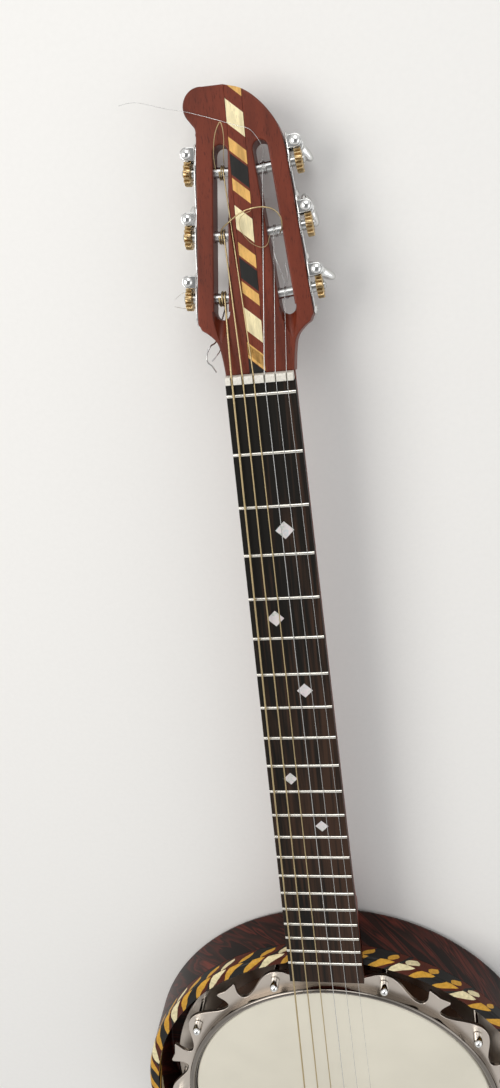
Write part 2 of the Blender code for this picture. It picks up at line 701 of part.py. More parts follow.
def make_nut():
    """A bone block with six slots. The zero fret carries the strings, and the nut only spaces them."""
    low = BOARD_LOW_Z
    front = ZERO_FRET_Y + NUT_FRONT
    back = NUT_BACK_Y
    base = FRET_TOP_Z - HEAD_DROP + GAP
    profile = [(front, low), (back - 1.2, low), (back - 1.2, base), (back, base), (back, NUT_TOP_Z - 1.4)]
    profile += [(back - 1.4, NUT_TOP_Z), (front, NUT_TOP_Z)]
    rings = [[(side * NUT_HALF, y, z) for y, z in profile] for side in (-1, 1)]
    nut = lofted("nut", rings, material("bone", (0.75, 0.72, 0.62), 0.4))
    for index, width in enumerate(STRING_WIDTHS):
        x = string_line(index, STRING_HALF_AT_NUT)
        half = width / 2 + 0.25
        outline = [(x - half, front - 3), (x + half, front - 3), (x + half, back + 3), (x - half, back + 3)]
        boolean(nut, prism(f"nut_slot_{index}", outline, NUT_SLOT_Z, NUT_TOP_Z + 3, None), "DIFFERENCE")
    return nut


def make_side_plate(name, side):
    """One strip carries three machines: round pads at the gears, slim waists with the screws between.

    Two lugs for each machine stand out of the strip and hold the worm's ends.
    """
    frame = side_frame(side)
    steps = np.linspace(-SIDE_PLATE_REACH, SIDE_PLATE_REACH, 25)
    edge = [(y, plate_edge(y)) for y in steps]
    outline = [(y, h) for y, h in edge] + [(y, -h) for y, h in reversed(edge)]
    rings = [[(side * x, y, z) for y, z in outline] for x in (GAP, GAP + SIDE_PLATE)]
    plate = lofted(name, rings, nickel(), frame, sharp=30.0)
    for step in (-1, 0, 1):
        for end in (-1, 1):
            boolean(plate, lug(f"{name}_lug_{step}_{end}", side, step, end), "UNION")
        bore = [(ROLLER_R + RUN, -5), (ROLLER_R + RUN, 5)]
        hole = turned(f"{name}_bore_{step}", bore, 12, None, roller_place(side, step))
        boolean(plate, hole, "DIFFERENCE")
        reach = LUG_GAP + LUG_THICK + 3
        bearing = [(WORM_SHAFT_R + RUN, -reach), (WORM_SHAFT_R + RUN, reach)]
        cutter = turned(f"{name}_bearing_{step}", bearing, 8, None, worm_place(side, step))
        boolean(plate, cutter, "DIFFERENCE")
    return plate


def plate_edge(y):
    """Half the strip's width at a place along it, with a round end past the last screws."""
    wave = (0.5 + 0.5 * math.cos(2 * math.pi * y / MACHINE_STEP)) ** 0.8
    half = blend(SIDE_PLATE_WAIST, SIDE_PLATE_PAD, wave)
    end = SIDE_PLATE_REACH - abs(y)
    tip = 4.2
    return half if end > tip else max(0.8, math.sqrt(tip**2 - (tip - end) ** 2) / tip * half)


def lug(name, side, step, end):
    """A rounded ear that stands on the strip and is round past the worm's axis."""
    inner = GAP + SIDE_PLATE / 2 - GEAR_OUT
    low, high = sorted((end * LUG_GAP, end * (LUG_GAP + LUG_THICK)))
    outline = [(inner, -LUG_HALF), *arc((0, 0), LUG_HALF, -90, 90, 4), (inner, LUG_HALF)]
    outline = [(side * x, y) for x, y in outline]
    return prism(name, outline, low, high, None, worm_place(side, step))


def gear_mesh():
    """A worm wheel: fourteen trapezoid teeth that lean with the worm's thread, round a bore."""
    lean = math.atan2(WORM_LEAD, 2 * math.pi * WORM_PITCH_R)
    twist = GEAR_WIDTH * math.tan(lean) / GEAR_PITCH_R
    pitch = 2 * math.pi / GEAR_TEETH
    root, tip = 0.3 * pitch, 0.11 * pitch
    bore_r = (ROLLER_R - ROLLER_STEP + GAP) / math.cos(2 * math.pi / GEAR_TEETH)
    points = []
    for x, turn in ((-GEAR_WIDTH / 2, -twist / 2), (GEAR_WIDTH / 2, twist / 2)):
        for tooth in range(GEAR_TEETH):
            middle = (tooth + 0.5) * pitch + turn
            for radius, offset in (
                (GEAR_ROOT_R, -root),
                (GEAR_TIP_R, -tip),
                (GEAR_TIP_R, tip),
                (GEAR_ROOT_R, root),
            ):
                angle = middle + offset
                points.append((x, radius * math.cos(angle), radius * math.sin(angle)))
        for corner in range(GEAR_TEETH // 2):
            angle = 2 * corner * pitch + turn
            points.append((x, bore_r * math.cos(angle), bore_r * math.sin(angle)))
    rim, corners = 4 * GEAR_TEETH, GEAR_TEETH // 2
    layer = rim + corners
    faces = []
    for i in range(rim):
        faces.append((i, (i + 1) % rim, layer + (i + 1) % rim, layer + i))
    for i in range(corners):
        after = (i + 1) % corners
        faces.append((rim + i, layer + rim + i, layer + rim + after, rim + after))
        for base in (0, layer):
            pair = [base + (8 * i + k) % rim for k in range(9)]
            faces.append((*pair, base + rim + after, base + rim + i))
    return points, faces


def worm_mesh():
    """A shaft with a right-handed thread of one start, made as one helical skin.

    Each step round the thread has four points: foot, crest, crest, foot. The next turn's first foot
    closes the floor between two turns, and the thread's two ends are flat. The thread's middle is
    at height 0 on the side that faces the gear, where the gear has the space between two teeth.
    """
    total = WORM_SIDES * WORM_TURNS
    cut = THREAD_SHARE * WORM_LEAD
    start = -(WORM_LEAD * WORM_TURNS + cut) / 2
    phase = -math.pi / 2 + 2 * math.pi * (start + cut / 2) / WORM_LEAD
    section = ((WORM_ROOT_R, 0.0), (WORM_TIP_R, 0.29), (WORM_TIP_R, 0.71), (WORM_ROOT_R, 1.0))
    points, faces = [], []
    for j in range(total + 1):
        angle = 2 * math.pi * j / WORM_SIDES + phase
        base = start + WORM_LEAD * j / WORM_SIDES
        points += [(r * math.cos(angle), r * math.sin(angle), base + cut * h) for r, h in section]
    for j in range(total):
        a, b = 4 * j, 4 * (j + 1)
        faces += [(a + k, b + k, b + k + 1, a + k + 1) for k in range(3)]
        if j + WORM_SIDES < total:
            c, d = a + 4 * WORM_SIDES, b + 4 * WORM_SIDES
            faces.append((a + 3, b + 3, d, c))
    faces += [(0, 1, 2, 3), (4 * total + 3, 4 * total + 2, 4 * total + 1, 4 * total)]
    seam = WORM_SIDES + 1
    shaft, root, face = WORM_SHAFT_R, WORM_ROOT_R, LUG_GAP - GAP
    lower = [4 * j for j in range(seam)]
    low_end = [(root, -face), (shaft, -face), (shaft, GAP - BUTTON_START - BUTTON_BORE)]
    faces += end_rings(points, lower, [], [3, 0], low_end, phase)
    upper = [4 * (total - WORM_SIDES + j) + 3 for j in range(seam)]
    high_end = [(root, face), (shaft, face), (shaft, LUG_GAP + LUG_THICK + 0.8)]
    faces += end_rings(points, upper, [4 * total + 3, 4 * total], [], high_end, phase)
    return points, faces


def end_rings(points, edge, before, after, profile, phase):
    """Closes one end of the thread with rings of (radius, height) and a flat end.

    The thread's end face meets its own foot line at the seam, so the strip of skin on one side of
    the seam also takes the end face's two feet.
    """
    first = len(points)
    for radius, z in profile:
        points.extend(circle(WORM_SIDES, radius, radius, z, phase))
    faces = []
    for j in range(WORM_SIDES):
        face = [edge[j], edge[j + 1]]
        face += after if j == WORM_SIDES - 1 else []
        face += [first + (j + 1) % WORM_SIDES, first + j]
        face += before if j == 0 else []
        faces.append(tuple(face))
    faces += [tuple(first + i for i in face) for face in ring_faces(len(profile), WORM_SIDES)]
    last = first + (len(profile) - 1) * WORM_SIDES
    faces.append(tuple(range(last, last + WORM_SIDES)))
    return faces


def button_rings():
    """Oval sections from the bore's floor, up its wall, over the collar and down the winged grip."""
    bore = WORM_SHAFT_R + GAP
    rings = [(bore, bore, -BUTTON_BORE), (bore, bore, 0), (3.2, 3.0, 0), (3.3, 3.0, -3.0)]
    rings += [(6.8, 3.1, -5.8), (BUTTON_HALF, BUTTON_THICK_HALF, -9.4)]
    rings += [(BUTTON_HALF * 0.86, BUTTON_THICK_HALF * 0.9, -BUTTON_LENGTH + 1.6)]
    rings += [(BUTTON_HALF * 0.55, BUTTON_THICK_HALF * 0.5, -BUTTON_LENGTH)]
    return [circle(10, a, b, z - BUTTON_START) for a, b, z in rings]


def roller_profile():
    """The steel roller from its blind end, through the slot and the strip, to the gear's spigot."""
    inner = -(SLOT_IN + SLOT_WIDTH / 2 + ROLLER_SEAT)
    face = GEAR_OUT - GEAR_WIDTH / 2 - GAP
    spigot = ROLLER_R - ROLLER_STEP
    return [(ROLLER_R, inner), (ROLLER_R, face), (spigot, face), (spigot, GEAR_OUT + GEAR_WIDTH / 2 + 0.6)]


def make_machines():
    """Six worm-and-wheel machines. A worm and its button turn together, and so do a gear and roller."""
    gear_points, gear_faces = gear_mesh()
    worm_points, worm_faces = worm_mesh()
    first = {}
    for side, letter in ((-1, "bass"), (1, "treble")):
        for step in (-1, 0, 1):
            tag = f"{letter}_{step + 2}"
            gear_spot = gear_place(side, step)
            worm_spot = worm_place(side, step)
            roller_spot = roller_place(side, step)
            button_spot = worm_spot @ Matrix.Rotation(math.radians(BUTTON_TURNS[side][step + 1]), 4, "Z")
            if not first:
                first["gear"] = solid(f"gear_{tag}", gear_points, gear_faces, brass(), gear_spot)
                first["worm"] = solid(f"worm_{tag}", worm_points, worm_faces, steel(), worm_spot)
                first["button"] = lofted(f"button_{tag}", button_rings(), nickel(), button_spot)
                first["roller"] = turned(f"roller_{tag}", roller_profile(), 12, steel(), roller_spot)
                continue
            placed(f"gear_{tag}", first["gear"].data, None, gear_spot)
            placed(f"worm_{tag}", first["worm"].data, None, worm_spot)
            placed(f"button_{tag}", first["button"].data, None, button_spot)
            placed(f"roller_{tag}", first["roller"].data, None, roller_spot)


def make_bridge():
    """A three-footed maple bridge that thins toward the strings."""
    low = HEAD_Z + GAP
    high = HEAD_Z + BRIDGE_HEIGHT
    half = STRING_HALF_AT_BRIDGE + 5
    foot = [(half + 3, low), (half + 3, low + 3), (half, high - 2), (half - 1.5, high)]
    arch = [(half - 7, low), (half - 9, low + 4.6), (half - 16, low + 6.8), (13, low + 6.8), (7.5, low + 4.6)]
    right = [*foot[::-1], *arch, (6, low)]
    outline = right + [(-x, z) for x, z in reversed(right)]
    y = -BRIDGE_BEHIND_CENTRE
    front, back = [], []
    for x, z in outline:
        thick = blend(3.6, 1.3, (z - low) / (high - low))
        front.append((x, y + thick, z))
        back.append((x, y - thick, z))
    return lofted("bridge", [front, back], material("bridge_maple", (0.5, 0.33, 0.17), 0.45), sharp=25.0)


def make_tailpiece():
    """A plated tongue that hooks under the bracket ring, climbs past the plate and holds six strings."""
    out = -(HORN_R + 2.2)
    lip_y, lip_z = TAILPIECE_LIP_Y, TAILPIECE_LIP_Z
    thick = 1.5
    hook_z = RING_Z - GAP - thick / 2
    spine = [(-136.0, hook_z, 7), (out + 1.2, hook_z, 8), (out - 0.8, hook_z + 2, 8.5), (out - 0.8, 46.0, 9)]
    spine += [(out + 0.6, 51.5, 11), (out + 5, 54.6, 15), (lip_y - 16, 56.4, 25), (lip_y, lip_z - 2.2, 28.5)]
    spine += [(lip_y + 1.4, lip_z + 1.6, 28.5)]
    rings = []
    for i, (y, z, half) in enumerate(spine):
        before = spine[max(i - 1, 0)]
        after = spine[min(i + 1, len(spine) - 1)]
        run = Vector((after[0] - before[0], after[1] - before[1])).normalized()
        side = Vector((-run.y, run.x)) * thick / 2
        rings.append(
            [
                (-half, y + side.x, z + side.y),
                (half, y + side.x, z + side.y),
                (half, y - side.x, z - side.y),
                (-half, y - side.x, z - side.y),
            ]
        )
    tail = lofted("tailpiece", rings, nickel(), sharp=50.0)
    for index, width in enumerate(STRING_WIDTHS):
        x = string_line(index, STRING_HALF_AT_TAIL)
        half = width / 2 + 0.4
        outline = [(x - half, lip_y - 2), (x + half, lip_y - 2), (x + half, lip_y + 6), (x - half, lip_y + 6)]
        boolean(tail, prism(f"tail_slot_{index}", outline, lip_z - 0.6 - half, lip_z + 5, None), "DIFFERENCE")
    return tail


def string_machine(index):
    """Outer strings go to the machines nearest the nut, and the middle pair to the tip."""
    side = -1 if index < 3 else 1
    step = (-1, 0, 1)[index] if index < 3 else (1, 0, -1)[index - 3]
    return side, step


def string_landing(index):
    """Where a string leaves the nut, where it meets its roller, and the winding's own values.

    In the roller's frame the string touches the winding's circle on its front side.
    """
    width = STRING_WIDTHS[index]
    side, step = string_machine(index)
    frame = machine_frame(side, step)
    nut = Vector((string_line(index, STRING_HALF_AT_NUT), NUT_BACK_Y, NUT_SLOT_Z + STRING_CLEAR + width / 2))
    radius = ROLLER_R + GAP + width / 2
    rise = width + WINDING_GAP
    start_x = -side * (SLOT_IN + rise * WINDING_TURNS / 2)
    local = frame.inverted() @ nut
    away = math.hypot(local.y, local.z)
    angle = math.atan2(local.z, local.y) - math.acos(radius / away)
    touch = frame @ Vector((start_x, radius * math.cos(angle), radius * math.sin(angle)))
    return nut, touch, frame, radius, side * rise, start_x, angle


def string_groove(index):
    """The relief in the headstock's face that lets a string run down to its roller."""
    nut, touch, *_ = string_landing(index)
    frame = tilted()
    a, b = frame.inverted() @ nut, frame.inverted() @ touch
    half = STRING_WIDTHS[index] / 2 + 0.6
    along = Vector((b.x - a.x, b.y - a.y)).normalized()
    side = Vector((-along.y, along.x)) * half
    rings = []
    for point, reach in ((a, 6.0), (b, 2.0)):
        here = Vector((point.x, point.y)) + along * reach
        low = blend(a.z, b.z, (here - Vector((a.x, a.y))).length / (b - a).xy.length) - half
        corners = [(here + side, low), (here - side, low), (here - side, 12.0), (here + side, 12.0)]
        rings.append([(p.x, p.y, z) for p, z in corners])
    return lofted(f"string_groove_{index}", rings, None, frame)


def string_points(index):
    """One string from its seat in the tailpiece, over bridge and zero fret, to its turns on the roller."""
    width = STRING_WIDTHS[index]
    rest = width / 2 + STRING_CLEAR
    nut, touch, frame, radius, rise, start_x, angle = string_landing(index)
    tail_x = string_line(index, STRING_HALF_AT_TAIL)
    bridge_x = string_line(index, STRING_HALF_AT_BRIDGE)
    points = [Vector((tail_x, TAILPIECE_LIP_Y - 1.2, TAILPIECE_LIP_Z))]
    points.append(Vector((tail_x, TAILPIECE_LIP_Y + 3, TAILPIECE_LIP_Z)))
    points.append(Vector((bridge_x, -BRIDGE_BEHIND_CENTRE, HEAD_Z + BRIDGE_HEIGHT + rest)))
    points.append(Vector((string_line(index, STRING_HALF_AT_NUT), ZERO_FRET_Y, FRET_TOP_Z + rest)))
    points.append(nut - Vector((0, NUT_THICK, 0)))
    points += [nut, blend(nut, touch, 0.5)]
    for k in range(WINDING_TURNS * WINDING_STEPS + 1):
        turn = k / WINDING_STEPS
        a = angle - 2 * math.pi * turn
        spot = Vector((start_x + rise * turn, radius * math.cos(a), radius * math.sin(a)))
        points.append(frame @ spot)
    return points


def least_gap(points, width):
    """The smallest distance between two stretches of one string that are not neighbours."""
    p = np.array([tuple(v) for v in points])
    apart = np.linalg.norm(p[:, None] - p[None], axis=2)
    order = np.abs(np.arange(len(p))[:, None] - np.arange(len(p))[None])
    return apart[order > WINDING_STEPS // 2].min() - width


def make_strings():
    gaps = []
    for index, width in enumerate(STRING_WIDTHS):
        points = string_points(index)
        gaps.append(least_gap(points[-WINDING_TURNS * WINDING_STEPS :], width))
        curve = bpy.data.curves.new(f"string_{index + 1}", "CURVE")
        curve.dimensions = "3D"
        curve.bevel_depth = width / 2 * MM
        curve.bevel_resolution = 1
        curve.use_fill_caps = True
        line = curve.splines.new("POLY")
        line.points.add(len(points) - 1)
        for spot, point in zip(line.points, points):
            spot.co = (*(point * MM), 1.0)
        bronze = material("bronze_winding", (0.5, 0.33, 0.16), 0.35, 1.0)
        obj = bpy.data.objects.new(f"string_{index + 1}", curve)
        bpy.context.scene.collection.objects.link(obj)
        curve.materials.append(bronze if index < 3 else steel())
    print(f"least gap in a winding: {min(gaps):.2f} mm")


def main():
    clear_scene()
    make_resonator()
    make_binding()
    make_rim()
    make_head()
    make_tension_plate()
    make_bolts()
    make_bracket_ring()
    make_stick()
    make_back_screw()
    make_neck()
    make_strip()
    make_fretboard()
    make_nut()
    make_side_plate("machine_strip_bass", -1)
    make_side_plate("machine_strip_treble", 1)
    make_machines()
    make_bridge()
    make_tailpiece()
    make_strings()


main()
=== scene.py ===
"""Six-string banjo: its surfaces and finishes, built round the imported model.

+Z points out of the head, +Y along the neck to the headstock, and X across to the treble side. Shapes
are worked out in millimetres and become metres where a mesh is made.
"""

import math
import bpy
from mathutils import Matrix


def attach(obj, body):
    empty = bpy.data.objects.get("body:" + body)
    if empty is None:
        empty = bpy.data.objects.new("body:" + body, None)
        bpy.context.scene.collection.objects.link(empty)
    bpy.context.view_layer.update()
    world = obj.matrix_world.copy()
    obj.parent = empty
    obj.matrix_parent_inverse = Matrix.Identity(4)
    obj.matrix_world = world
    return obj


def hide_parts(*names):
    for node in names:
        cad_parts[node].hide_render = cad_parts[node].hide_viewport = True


bl_info = {
    "name": "Six-string banjo",
    "version": (1, 0, 0),
    "blender": (4, 5, 0),
    "location": "3D View > Sidebar > Banjo",
    "description": "Builds a six-string banjo, piece by piece, on its packed model",
    "category": "Add Mesh",
}

import bmesh
import bpy
import numpy as np
from bpy.props import FloatProperty, FloatVectorProperty, IntProperty, PointerProperty
from mathutils import Matrix, Vector

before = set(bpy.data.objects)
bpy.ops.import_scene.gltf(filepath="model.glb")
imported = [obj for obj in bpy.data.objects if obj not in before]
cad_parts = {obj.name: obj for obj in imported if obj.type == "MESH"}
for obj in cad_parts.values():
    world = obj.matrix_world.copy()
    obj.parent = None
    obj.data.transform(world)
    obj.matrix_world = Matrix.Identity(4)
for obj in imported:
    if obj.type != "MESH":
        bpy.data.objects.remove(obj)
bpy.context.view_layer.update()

MM = 0.001
GAP = 0.3  # left between pieces that lie against each other
PLAY = 0.35  # left round pieces that turn

SCALE_LENGTH = 650.0
BRIDGE_BEHIND = 39.6
ZERO_FRET_Y = SCALE_LENGTH - BRIDGE_BEHIND
HEAD_Z = 50.0
FRET_TOP_Z = 60.0
BRIDGE_HEIGHT = 15.2
FRETS = 20
BOARD_HALF = (21.1, 28.6)  # at the zero fret and at the last one
BOARD_TOP = 59.0
BOARD_LOW = 53.8
BOARD_END_Y = 145.5
NUT_FRONT_Y = ZERO_FRET_Y + 7.0
NUT_BACK_Y = NUT_FRONT_Y + 4.9
NUT_HALF = 20.3
NUT_TOP_Z = 61.4
NUT_SLOT_Z = 59.0

NECK_TOP = 53.5
NECK_DEPTH = (14.6, 17.0)  # at the nut and where the heel starts
HEEL_START_Y = 252.0
HEEL_TOE_Y = 194.0
HEEL_BOTTOM_Z = 8.0
HEEL_FOOT_HALF = 23.0

HEAD_TILT = 8.0
HEAD_DROP = 5.0
HEAD_THICK = 15.5
SHOULDER = (33.9, 36.3)
TIP = (25.8, 122.0)
THROAT_Y = 134.0
SLOT_IN = 14.0
SLOT_HALF = 4.4
SLOT_ENDS = (-47.5, 49.0)
VENEER_X = -1.2
VENEER_HALF = 4.8
VENEER_DEPTH = 1.4
STRIP_TOP, STRIP_PERIOD, STRIP_SLANT = 152.2, 56.65, 8.5
STRIP_CELLS = ((0, 13, "cream"), (20, 27.4, "tan"), (28.6, 40.2, "black"), (41.8, 48.5, "tan"))
DIAMONDS = ((2, 5.3, 1.0), (4, -7.0, 0.95), (6, 7.2, 0.9), (9, -9.5, 0.82), (11, 9.0, 0.78))

MACHINE_Y = 81.1
MACHINE_STEP = 35.0
ROLLER_R = 3.1
ROLLER_DEPTH = 7.0
GEAR_TEETH = 14
GEAR_MODULE = 0.93
GEAR_WIDTH = 3.8
GEAR_OUT = 5.9
GEAR_R = GEAR_MODULE * GEAR_TEETH / 2
WORM_R = 3.0
WORM_SHAFT_R = 1.5
WORM_LEAD = math.pi * GEAR_MODULE
LUG_GAP = 5.4
LUG_THICK = 1.8
LUG_HALF = 3.6
STRIP_THICK = 1.2
STRIP_REACH = 51.0
BUTTON_START = 10.0
BUTTON_TURNS = {-1: (70.0, -80.0, 86.0), 1: (-36.0, -75.0, -54.0)}  # as the photograph has them
SIDES = ((-1, "bass"), (1, "treble"))
MACHINES = [(side, step) for side, _ in SIDES for step in (-1, 0, 1)]

RIM_R = 123.9
RIM_INNER = RIM_R - 11.0
COLLAR_R = 131.0
COLLAR_TOP = 53.0
COLLAR_LOW = 41.6
PLATE_TOP = 47.0
PLATE_THICK = 3.0
BOLTS = 10
BOLT_CIRCLE = 140.5
BOLT_HOLE_R = 2.3
NUT_RADIUS = 3.5
NUT_TALL = 10.6
BOWL_R = 166.6
BOWL_WALL = 8.2
BINDING_TOP = 50.5
BINDING_LOW = 39.1
RING_OUT, RING_LOW, RING_TOP = 146.0, 21.5, 24.5
RING_SIDES = 52
STICK_HALF, STICK_LOW, STICK_TOP, STICK_END_Y = 12.0, 18.0, 34.0, 142.0
SCREW_R, SCREW_HEAD_R = 2.5, 6.0
# (radius, height) of the room that the rim, the collar and the plate take out of the neck.
POT_ROOM = ((127.6, 0), (127.6, 40.8), (131.8, 40.8), (131.8, 43.2), (151.1, 43.2), (151.1, 90))
ROPE_WAY = 20.0  # from the rope's inner edge round its corner to its lower edge
ROPE_EASE = 0.06  # how far to each side the rope's slant changes, in metres
WAVE_SPACING = 0.314  # a wave texture's scale for one wave in each unit
ROUND = 192  # sides of the large turned pieces

STRING_WIDTHS = (1.22, 0.97, 0.76, 0.52, 0.36, 0.28)
AT_NUT, AT_BRIDGE, AT_TAIL = 16.45, 28.45, 24.0
LIP_Y, LIP_Z = -112.0, 57.6
TURN_GAP = 0.45  # between a string's turns round its roller
WOUND, PLAIN = ("bronze_winding", "bronze_winding"), ("steel", "plain_steel")  # finish, slot

STUDIO_PALE = 0.93
FLOOR_Z, FLOOR_REACH = -0.0004, 6.0
STAGE_MIDDLE = (0.0, 0.35, 0.0)
FADE_FROM, FADE_TO = 0.85, 2.4  # how far from there the floor fades, in metres
LIT_SPOT = (0.0, 0.3, 0.0)
LAMPS = (  # name, watts, width, place and colour
    ("key", 26.0, 1.3, (-1.3, 0.9, 1.7), (1.0, 0.98, 0.95)),
    ("fill", 9.0, 1.6, (1.7, 0.2, 1.4), (0.97, 0.98, 1.0)),
    ("top", 9.0, 1.0, (0.2, 1.9, 1.3), (1.0, 1.0, 1.0)),
)
CAMERA_LENS, SENSOR_WIDTH = 30.09, 36.0
CAMERA_SPOT = (0.0845, 0.7229, 0.5889)
CAMERA_AXES = (  # its right, down and ahead
    (0.9828, -0.11449, -0.14492),
    (-0.05286, -0.92622, 0.37326),
    (-0.17696, -0.35918, -0.91634),
)


def linear(code):
    """An sRGB hex colour as linear red, green, blue and alpha."""
    value = np.array([int(code[i : i + 2], 16) for i in (1, 3, 5)]) / 255
    value = np.where(value <= 0.04045, value / 12.92, ((value + 0.055) / 1.055) ** 2.4)
    return (*(float(v) for v in value), 1.0)


def length(name, millimetres, about):
    """A length for the sidebar, given here in millimetres and kept in metres."""
    return FloatProperty(
        name=name, description=about, default=millimetres * MM, min=0.0, unit="LENGTH", subtype="DISTANCE"
    )


def colour(name, code, about):
    """A colour for the sidebar."""
    return FloatVectorProperty(
        name=name, description=about, default=linear(code), size=4, min=0.0, max=1.0, subtype="COLOR"
    )


class BanjoSizes(bpy.types.PropertyGroup):
    wood_round: length("Wood edge", 0.9, "Radius on the headstock's edges")
    slot_round: length("Slot edge", 0.9, "Radius on the mouths of the string slots")
    ramp: length("Slot ramp", 13.0, "How far each slot runs out toward the nut")
    fret_width: length("Fret width", 2.3, "Width of a fret's crown")
    pearl: length("Pearl diamond", 12.0, "Corner to corner, nearest the nut")
    plate_round: length("Plate edge", 0.4, "Radius on the cast plate's edges")
    bead: length("Collar bead", 2.3, "Radius of the rolled bead round the head")
    strip_round: length("Strip edge", 0.35, "Radius on the machine strips")
    screw: length("Screw head", 2.2, "Radius of the strip screws' heads")
    binding_round: length("Binding corner", 2.6, "Radius on the roped edge")
    loose_wire: length("Loose wire", 0.5, "Thickness of the loose string ends")
    rope_cells: IntProperty(name="Rope cells", description="Cream cells round the edge", default=19, min=6)


class BanjoColours(bpy.types.PropertyGroup):
    mahogany: colour("Mahogany", "#682C1B", "Neck and headstock")
    mahogany_dark: colour("Mahogany pores", "#3C160D", "Grain lines in the neck")
    rosewood: colour("Rosewood", "#2A1610", "Bowl")
    rosewood_streak: colour("Rosewood streaks", "#54231A", "Red streaks in the bowl")
    board: colour("Board", "#171512", "Fingerboard")
    board_streak: colour("Board streaks", "#3B2A20", "Brown streaks in the fingerboard")
    maple: colour("Maple", "#B98B58", "Stick and bridge")
    stain: colour("Stained maple", "#4A2C18", "Rim")
    cream: colour("Cream veneer", "#E6D8AC", "Pale cells of the marquetry")
    tan: colour("Tan veneer", "#D2A45C", "Tan cells of the headstock's strip")
    gold: colour("Gold veneer", "#CE9A38", "Golden cells of the rope")
    russet: colour("Russet veneer", "#4E1C0A", "Red-brown cells of the rope")
    black: colour("Black veneer", "#1B1A18", "Black cells of the marquetry")
    skin: colour("Skin", "#D9D3C2", "Drum head")
    speck: colour("Skin specks", "#7A6F5A", "Specks in the drum head")
    nickel: colour("Satin nickel", "#CFC5BA", "Cast plate and its ring")
    chrome: colour("Chrome", "#D9D9D7", "Machines and bolts")
    brass: colour("Brass", "#BFA67C", "Worm wheels")
    steel: colour("Steel", "#C4C4C2", "Rollers, worms and plain strings")
    bronze: colour("Bronze", "#B5A27A", "Wound strings")
    silver: colour("Fret silver", "#E6E2D8", "Frets")
    bone: colour("Bone", "#DDD8CC", "Nut")
    pearl: colour("Pearl", "#CFCEC8", "Diamonds")
    pearl_green: colour("Pearl green", "#A9B0A8", "Green layers in the diamonds")
    pearl_pink: colour("Pearl pink", "#D8CBCB", "Pink layers in the diamonds")
    pearl_blue: colour("Pearl blue", "#B9C6C6", "Blue layers in the diamonds")
    floor: colour("Floor", "#E6E4E0", "Studio floor")


def size(name):
    """One of the sidebar's lengths, in millimetres."""
    return getattr(bpy.context.scene.banjo_sizes, name) / MM


def tone(name):
    """One of the sidebar's colours."""
    return tuple(getattr(bpy.context.scene.banjo_colours, name))


def shaded(code, share):
    """A colour with its red, green and blue multiplied by a share."""
    return (*(min(1.0, c * share) for c in code[:3]), 1.0)


def add(tree, kind, inputs=None, stops=None, **settings):
    """Adds a node. inputs gives values or (node, output) links; stops gives a colour ramp's stops."""
    made = tree.nodes.new(kind)
    for key, value in settings.items():
        setattr(made, key, value)
    if stops:
        ramp = made.color_ramp
        while len(ramp.elements) < len(stops):
            ramp.elements.new(0.5)
        for element, (place, shade) in zip(ramp.elements, stops):
            element.position = place
            element.color = shade if isinstance(shade, tuple) else (shade, shade, shade, 1.0)
    for key, value in (inputs or {}).items():
        if isinstance(value, tuple) and isinstance(value[0], bpy.types.Node):
            tree.links.new(value[0].outputs[value[1]], made.inputs[key])
        else:
            made.inputs[key].default_value = value
    return made


def every(millimetres):
    """The scale at which a noise or cell texture changes about once in that many millimetres."""
    return 1 / (millimetres * MM)


def blank(name):
    """An empty material, its tree, and the place that its patterns read: each point's own, in metres."""
    made = bpy.data.materials.new(name)
    made.use_nodes = True
    made.node_tree.nodes.clear()
    return made, made.node_tree, (add(made.node_tree, "ShaderNodeTexCoord"), "Object")


def grained(tree, place, light, dark, roughness, coat, pore=0.55, figure=9.0, along=0.05):
    """Lacquered open-pored wood with its grain along Y.

    Two noises are drawn out along the grain: a broad one for the figure's bands and a fine one for
    the pores, which are drawn about twice their real width so that they show. pore and figure are
    their widths in millimetres, and along is their scale along the grain.
    """
    drawn = add(tree, "ShaderNodeMapping", {"Vector": place, "Scale": (1.0, along, 1.0)})
    grain = (drawn, "Vector")
    broad = add(tree, "ShaderNodeTexNoise", {"Vector": grain, "Scale": every(figure), "Detail": 4.0})
    fine = add(tree, "ShaderNodeTexNoise", {"Vector": grain, "Scale": every(pore), "Detail": 2.0})
    bands = [(0.32, shaded(light, 0.72)), (0.5, light), (0.7, shaded(light, 1.22))]
    ribbon = add(tree, "ShaderNodeValToRGB", {"Fac": (broad, "Fac")}, bands)
    pores = add(tree, "ShaderNodeValToRGB", {"Fac": (fine, "Fac")}, [(0.32, 0.6), (0.43, 0.0)])
    parts = {"Fac": (pores, "Color"), "Color1": (ribbon, "Color"), "Color2": dark}
    mixed = add(tree, "ShaderNodeMixRGB", parts)
    relief = add(tree, "ShaderNodeBump", {"Height": (fine, "Fac"), "Distance": 0.05 * MM, "Strength": 0.35})
    return {
        "Base Color": (mixed, "Color"),
        "Normal": (relief, "Normal"),
        "Roughness": roughness,
        "Specular IOR Level": 0.2,
        "Coat Weight": coat,
        "Coat Roughness": 0.12,
    }


def mahogany(tree, place):
    """Mahogany under thin satin lacquer: red-brown, with long dark pores and soft ribbon bands."""
    return grained(tree, place, tone("mahogany"), tone("mahogany_dark"), 0.42, 0.1)


def maple(tree, place):
    """Sealed maple: pale, close-grained, nearly without pores."""
    shade = tone("maple")
    return grained(tree, place, shade, shaded(shade, 0.72), 0.45, 0.1, 0.4, 6.0)


def stained_maple(tree, place):
    """The rim's maple, stained dark brown and sealed."""
    shade = tone("stain")
    return grained(tree, place, shade, shaded(shade, 0.5), 0.5, 0.05, 0.4, 6.0)


def veneer(tree, place, shade):
    """A cut of dyed maple or pearwood veneer under the headstock's lacquer, with faint grain."""
    return grained(tree, place, shade, shaded(shade, 0.72), 0.4, 0.3, 0.5, 3.0, 0.12)


